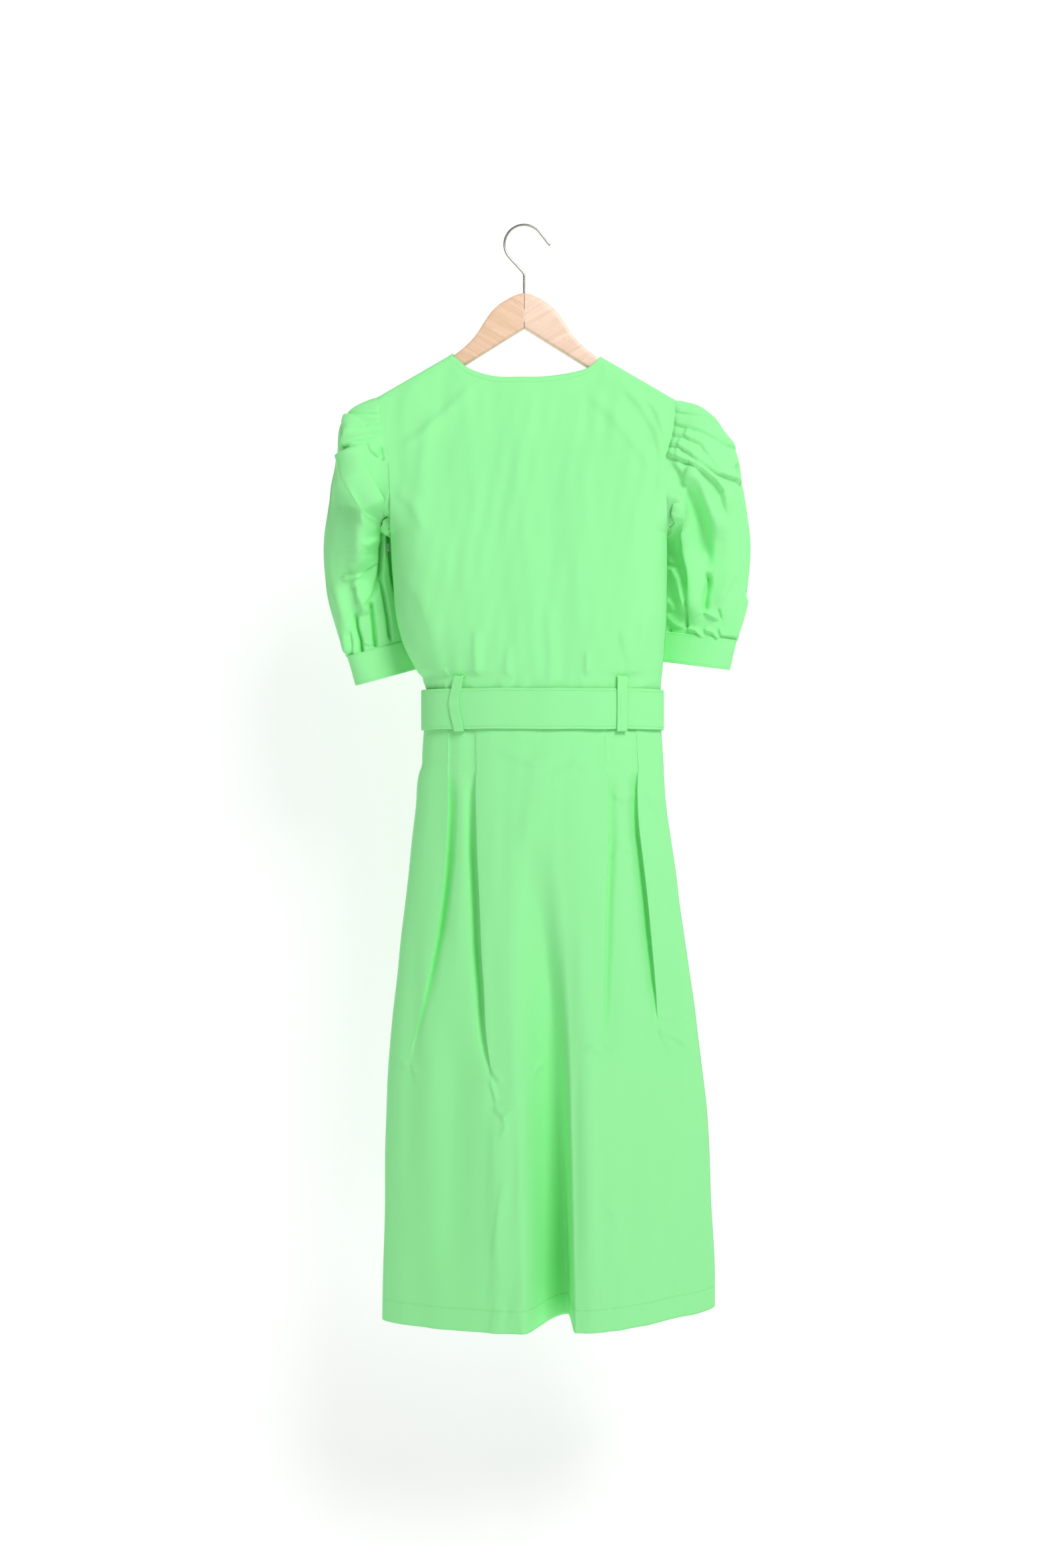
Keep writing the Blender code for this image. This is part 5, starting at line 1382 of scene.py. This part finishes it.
class DRESS_OT_belt(Piece):
    """The cloth belt with its stitched edges, the keeper and the cloth-covered buckle"""
    bl_idname = "dress.belt"
    bl_label = "Belt"

    def build(self, context):
        path = belt_path()
        ahead = unit(np.gradient(path, axis=0))
        out = np.stack([ahead[:, 1], -ahead[:, 0]], axis=1)
        outward = np.sign((out * (path - np.array([WAIST_MID, 0.0]))).sum(axis=1))[:, None]
        run = np.arange(len(path)) * 2.0
        wave = 0.45 * np.sin(run / 31.0) + 0.3 * np.sin(run / 13.0 + 1.0)
        at_back = ease(-path[:, 1] / 20.0)
        bulge = at_back * (0.5 * np.sin(run / 24.0 + 0.5) + 0.35 * np.sin(run / 11.0))
        path = path + out * outward * np.maximum(bulge, -0.4)[:, None]
        middle_z = BELT_MID_Z + wave * 0.5
        half_high = BELT_HALF_H + 0.15 * np.sin(run / 9.0)
        half_thick, stitch_rise = 0.72, 21.6
        points = band_points(path, out, middle_z, half_high, half_thick, 36)
        made = tailored("belt_cloth", points, "belt", ["belt"], wrap=True, caps=True)
        facing = out * outward
        open_run = slice(36, len(path) - 62)     # between the folded end and the tongue
        for word, way in (("top", 1), ("low", -1)):
            height = middle_z + way * stitch_rise
            line = np.concatenate([path + facing * 0.85, height[:, None]], axis=1)
            normal = np.concatenate([facing, np.zeros((len(path), 1))], axis=1)
            sewn("belt_stitches_" + word, line[open_run], normal[open_run], "belt")
        self.keeper()
        self.buckle()

    def keeper(self):
        """The narrow band that holds the belt's tongue."""
        angle = front_angle(75.0)
        near, far, top, low = 0.7, 8.2, BELT_TOP + 1.3, BELT_BOTTOM - 1.3
        middle = (near + far) / 2
        outline = [(middle, top), (far - 1, top), (far, top - 1), (far, BELT_MID_Z), (far, low + 1),
                   (far - 1, low), (near + 1, low), (near, low + 1), (near, BELT_MID_Z), (near, top - 1),
                   (near + 1, top), (middle, top)]
        points = loop_points(angle, 0.0, outline, 10.0, 0.5)
        keeper = tailored("keeper_cloth", points, "belt", ["belt_keeper"], wrap=True)

    def buckle(self):
        """The buckle's frame: a round bar bent into a rectangle and covered in the dress's cloth."""
        axis = front_point(BUCKLE_HALF, FIRST + FOLD_R)
        half_w, half_h, corner = axis[0] - WAIST_MID, BELT_HALF_H + 3.5, 4.0
        frame_path = []
        for cx, cz, first in ((1, 1, 0.0), (-1, 1, pi / 2), (-1, -1, pi), (1, -1, 1.5 * pi)):
            for turn in np.linspace(first, first + pi / 2, 12):
                frame_path.append((WAIST_MID + cx * (half_w - corner) + corner * cos(turn), axis[1],
                                   BELT_MID_Z + cz * (half_h - corner) + corner * sin(turn)))
        frame_path = resample(np.array(frame_path + frame_path[:1]), 1.0)[:-1]
        ring = tube(frame_path, 1.55, 24, closed=True)
        buckle = tailored("buckle_cover", ring, "buckle", ["buckle_frame"], wrap=True)


class DRESS_OT_loops(Piece):
    """The four belt loops, each a flat tape stitched down above and below the belt"""
    bl_idname = "dress.loops"
    bl_label = "Belt loops"

    def build(self, context):
        for name, angle, bow in (("back_left", -front_angle(-101.0), -6.5),
                                 ("back_right", -front_angle(95.0), 0.4),
                                 ("front_left", front_angle(-101.0), 0.5),
                                 ("front_right", front_angle(110.0), 0.3)):
            points = loop_points(angle, bow)
            made = tailored("loop_" + name, points, "dress", ["belt_loop_" + name], wrap=True, caps=True)
            foot, ahead, out = on_waist(angle, 6.1)
            for word, edge in (("a", -4.6), ("b", 4.6)):
                z = np.linspace(BELT_TOP + 12.0, BELT_BOTTOM - 0.6, 60)
                shift = edge + bow * np.sin(pi * np.clip((BELT_TOP + 14 - z) / 66, 0, 1)) ** 2
                xy = foot[None, :] + ahead[None, :] * shift[:, None]
                line = np.concatenate([xy, z[:, None]], axis=1)
                sewn("loop_%s_stitches_%s" % (name, word), line, np.array([out[0], out[1], 0.0]), "dress")


class DRESS_OT_zip(Piece):
    """The zip in the left side seam: two tapes inside, its slider, pull and stop"""
    bl_idname = "dress.zip"
    bl_label = "Zip"

    def build(self, context):
        z = np.linspace(-390.0, -662.0, 140)
        left = np.where(z > -600, side_x(z, -1), smooth(column(SKIRT_SIDES, 1), z))
        right = np.where(z > -600, side_x(z, 1), smooth(column(SKIRT_SIDES, 2), z))
        mid, half = (left + right) / 2, (right - left) / 2
        deep = smooth(DEPTHS, np.maximum(z, -640))
        for word, facing in (("back", -1), ("front", 1)):
            y = facing * np.linspace(0.6, 11.0, 12)[None, :] * np.ones((len(z), 1))
            inset = 4.6 + 0.15 * np.sin(z / 1.6)[:, None]
            x = mid[:, None] - (half[:, None] - inset) * np.sqrt(1 - (y / (deep[:, None] - inset)) ** 2)
            points = np.stack([x, y, np.broadcast_to(z[:, None], x.shape)], axis=-1)
            made = grid_object("zip_tape_%s_cloth" % word, points, tape("zip_tape_weave", (0.18, 0.62, 0.22)),
                               outwards=(-1, 0, 0), thickness=0.5)
            place(made, "dress", ["zip_tape_" + word], "zip_tape")
        for name in ("zip_slider", "zip_pull", "zip_bottom_stop"):
            recolour(name, metal("zip_enamel", (0.30, 0.66, 0.34), 0.35))


class DRESS_OT_labels(Piece):
    """Two blank woven labels, each a small tape with a slight curl towards its lower end"""
    bl_idname = "dress.labels"
    bl_label = "Labels"

    def build(self, context):
        for name in ("neck_label", "care_label"):
            low, high = corner_mm(name)
            centre = (low + high) / 2
            u = np.linspace(-1, 1, 40)[None, :]
            v = np.linspace(0, 1, 30)[:, None]
            x = centre[0] + u * (high[0] - low[0]) / 2 * np.ones_like(v)
            z = high[2] - v * (high[2] - low[2])
            curl = 0.25 * np.sin(2.2 * u + 3.0 * v) * v
            y = centre[1] + curl + 0 * x
            points = np.stack([x, y, np.broadcast_to(z, x.shape)], axis=-1)
            made = grid_object(name + "_cloth", points, tape("label_weave", (0.90, 0.90, 0.88)),
                               outwards=(0, 1, 0), thickness=0.35)
            place(made, "dress", [name], "label_cloth")


class DRESS_OT_stage(Piece):
    """Pale wall and floor, a soft key light from the upper right, fills, and the camera"""
    bl_idname = "dress.stage"
    bl_label = "Stage"

    def build(self, context):
        scene = context.scene
        pale = backdrop_paint(scene.dress_colours.wall)
        wall_y, wall_top, floor_z, reach, bend = 0.31, 4.5, -1.80, 6.0, 0.4
        angle = np.linspace(0, pi / 2, 12)
        y = np.concatenate([[-reach], wall_y - bend + bend * np.sin(angle), [wall_y]])
        z = np.concatenate([[floor_z], floor_z + bend - bend * np.cos(angle), [wall_top]])
        x = np.linspace(-reach, reach, 3)
        grid = np.stack(np.broadcast_arrays(x[None, :], y[:, None], z[:, None]), axis=-1) / MM
        parts = [grid_object("backdrop", grid, pale, outwards=(0, -1, 0.5))]

        def area(name, where, at, size, power, colour=(1.0, 1.0, 1.0)):
            data = bpy.data.lights.new(name, "AREA")
            data.shape = "DISK"
            data.size = size
            data.energy = power
            data.color = colour
            lamp = bpy.data.objects.new(name, data)
            scene.collection.objects.link(lamp)
            lamp.location = where
            aim = Vector(at) - Vector(where)
            lamp.rotation_euler = aim.to_track_quat("-Z", "Y").to_euler()
            parts.append(lamp)

        area("key", (1.25, -2.3, 1.5), (0.0, 0.0, -0.6), 1.5, 79.0)
        area("fill_left", (-2.0, -2.8, -0.6), (0.0, 0.0, -0.7), 2.4, 11.0)
        area("rear_key", (-1.6, 2.6, 0.6), (0.0, 0.0, -0.6), 1.5, 28.0)
        world = bpy.data.worlds.new("studio")
        world.use_nodes = True
        world.node_tree.nodes["Background"].inputs["Color"].default_value = (1.0, 1.0, 1.0, 1.0)
        world.node_tree.nodes["Background"].inputs["Strength"].default_value = 0.13
        scene.world = world
        scene.view_settings.view_transform = "Standard"
        lens = bpy.data.cameras.new("view")
        lens.lens = 44.24
        lens.sensor_width = 36.0
        lens.clip_end = 50.0
        camera = bpy.data.objects.new("view", lens)
        scene.collection.objects.link(camera)
        camera.location = (VIEW_X * MM, -VIEW_DISTANCE * MM, VIEW_HEIGHT * MM)
        camera.rotation_euler = (radians(90), 0.0, 0.0)
        scene.camera = camera


class DRESS_PT_panel(bpy.types.Panel):
    """Sizes, colours and a button for each piece"""
    bl_idname = "DRESS_PT_panel"
    bl_label = "Dress"
    bl_space_type = "VIEW_3D"
    bl_region_type = "UI"
    bl_category = "Dress"

    def draw(self, context):
        for key in DressSizes.__annotations__:
            self.layout.prop(context.scene.dress_sizes, key)
        for key in DressColours.__annotations__:
            self.layout.prop(context.scene.dress_colours, key)
        for item in STEPS:
            self.layout.operator(item.bl_idname)


STEPS = (DRESS_OT_hook, DRESS_OT_hanger, DRESS_OT_bodice, DRESS_OT_skirt, DRESS_OT_sleeves, DRESS_OT_cuffs,
         DRESS_OT_belt, DRESS_OT_loops, DRESS_OT_zip, DRESS_OT_labels, DRESS_OT_stage)


def register():
    for item in (DressSizes, DressColours, *STEPS, DRESS_PT_panel):
        bpy.utils.register_class(item)
    bpy.types.Scene.dress_sizes = bpy.props.PointerProperty(type=DressSizes)
    bpy.types.Scene.dress_colours = bpy.props.PointerProperty(type=DressColours)


def unregister():
    del bpy.types.Scene.dress_sizes
    del bpy.types.Scene.dress_colours
    for item in reversed((DressSizes, DressColours, *STEPS, DRESS_PT_panel)):
        bpy.utils.unregister_class(item)


def main():
    register()
    for item in STEPS:
        group, name = item.bl_idname.split(".")
        getattr(getattr(bpy.ops, group), name)()


if __name__ == "__main__":
    main()
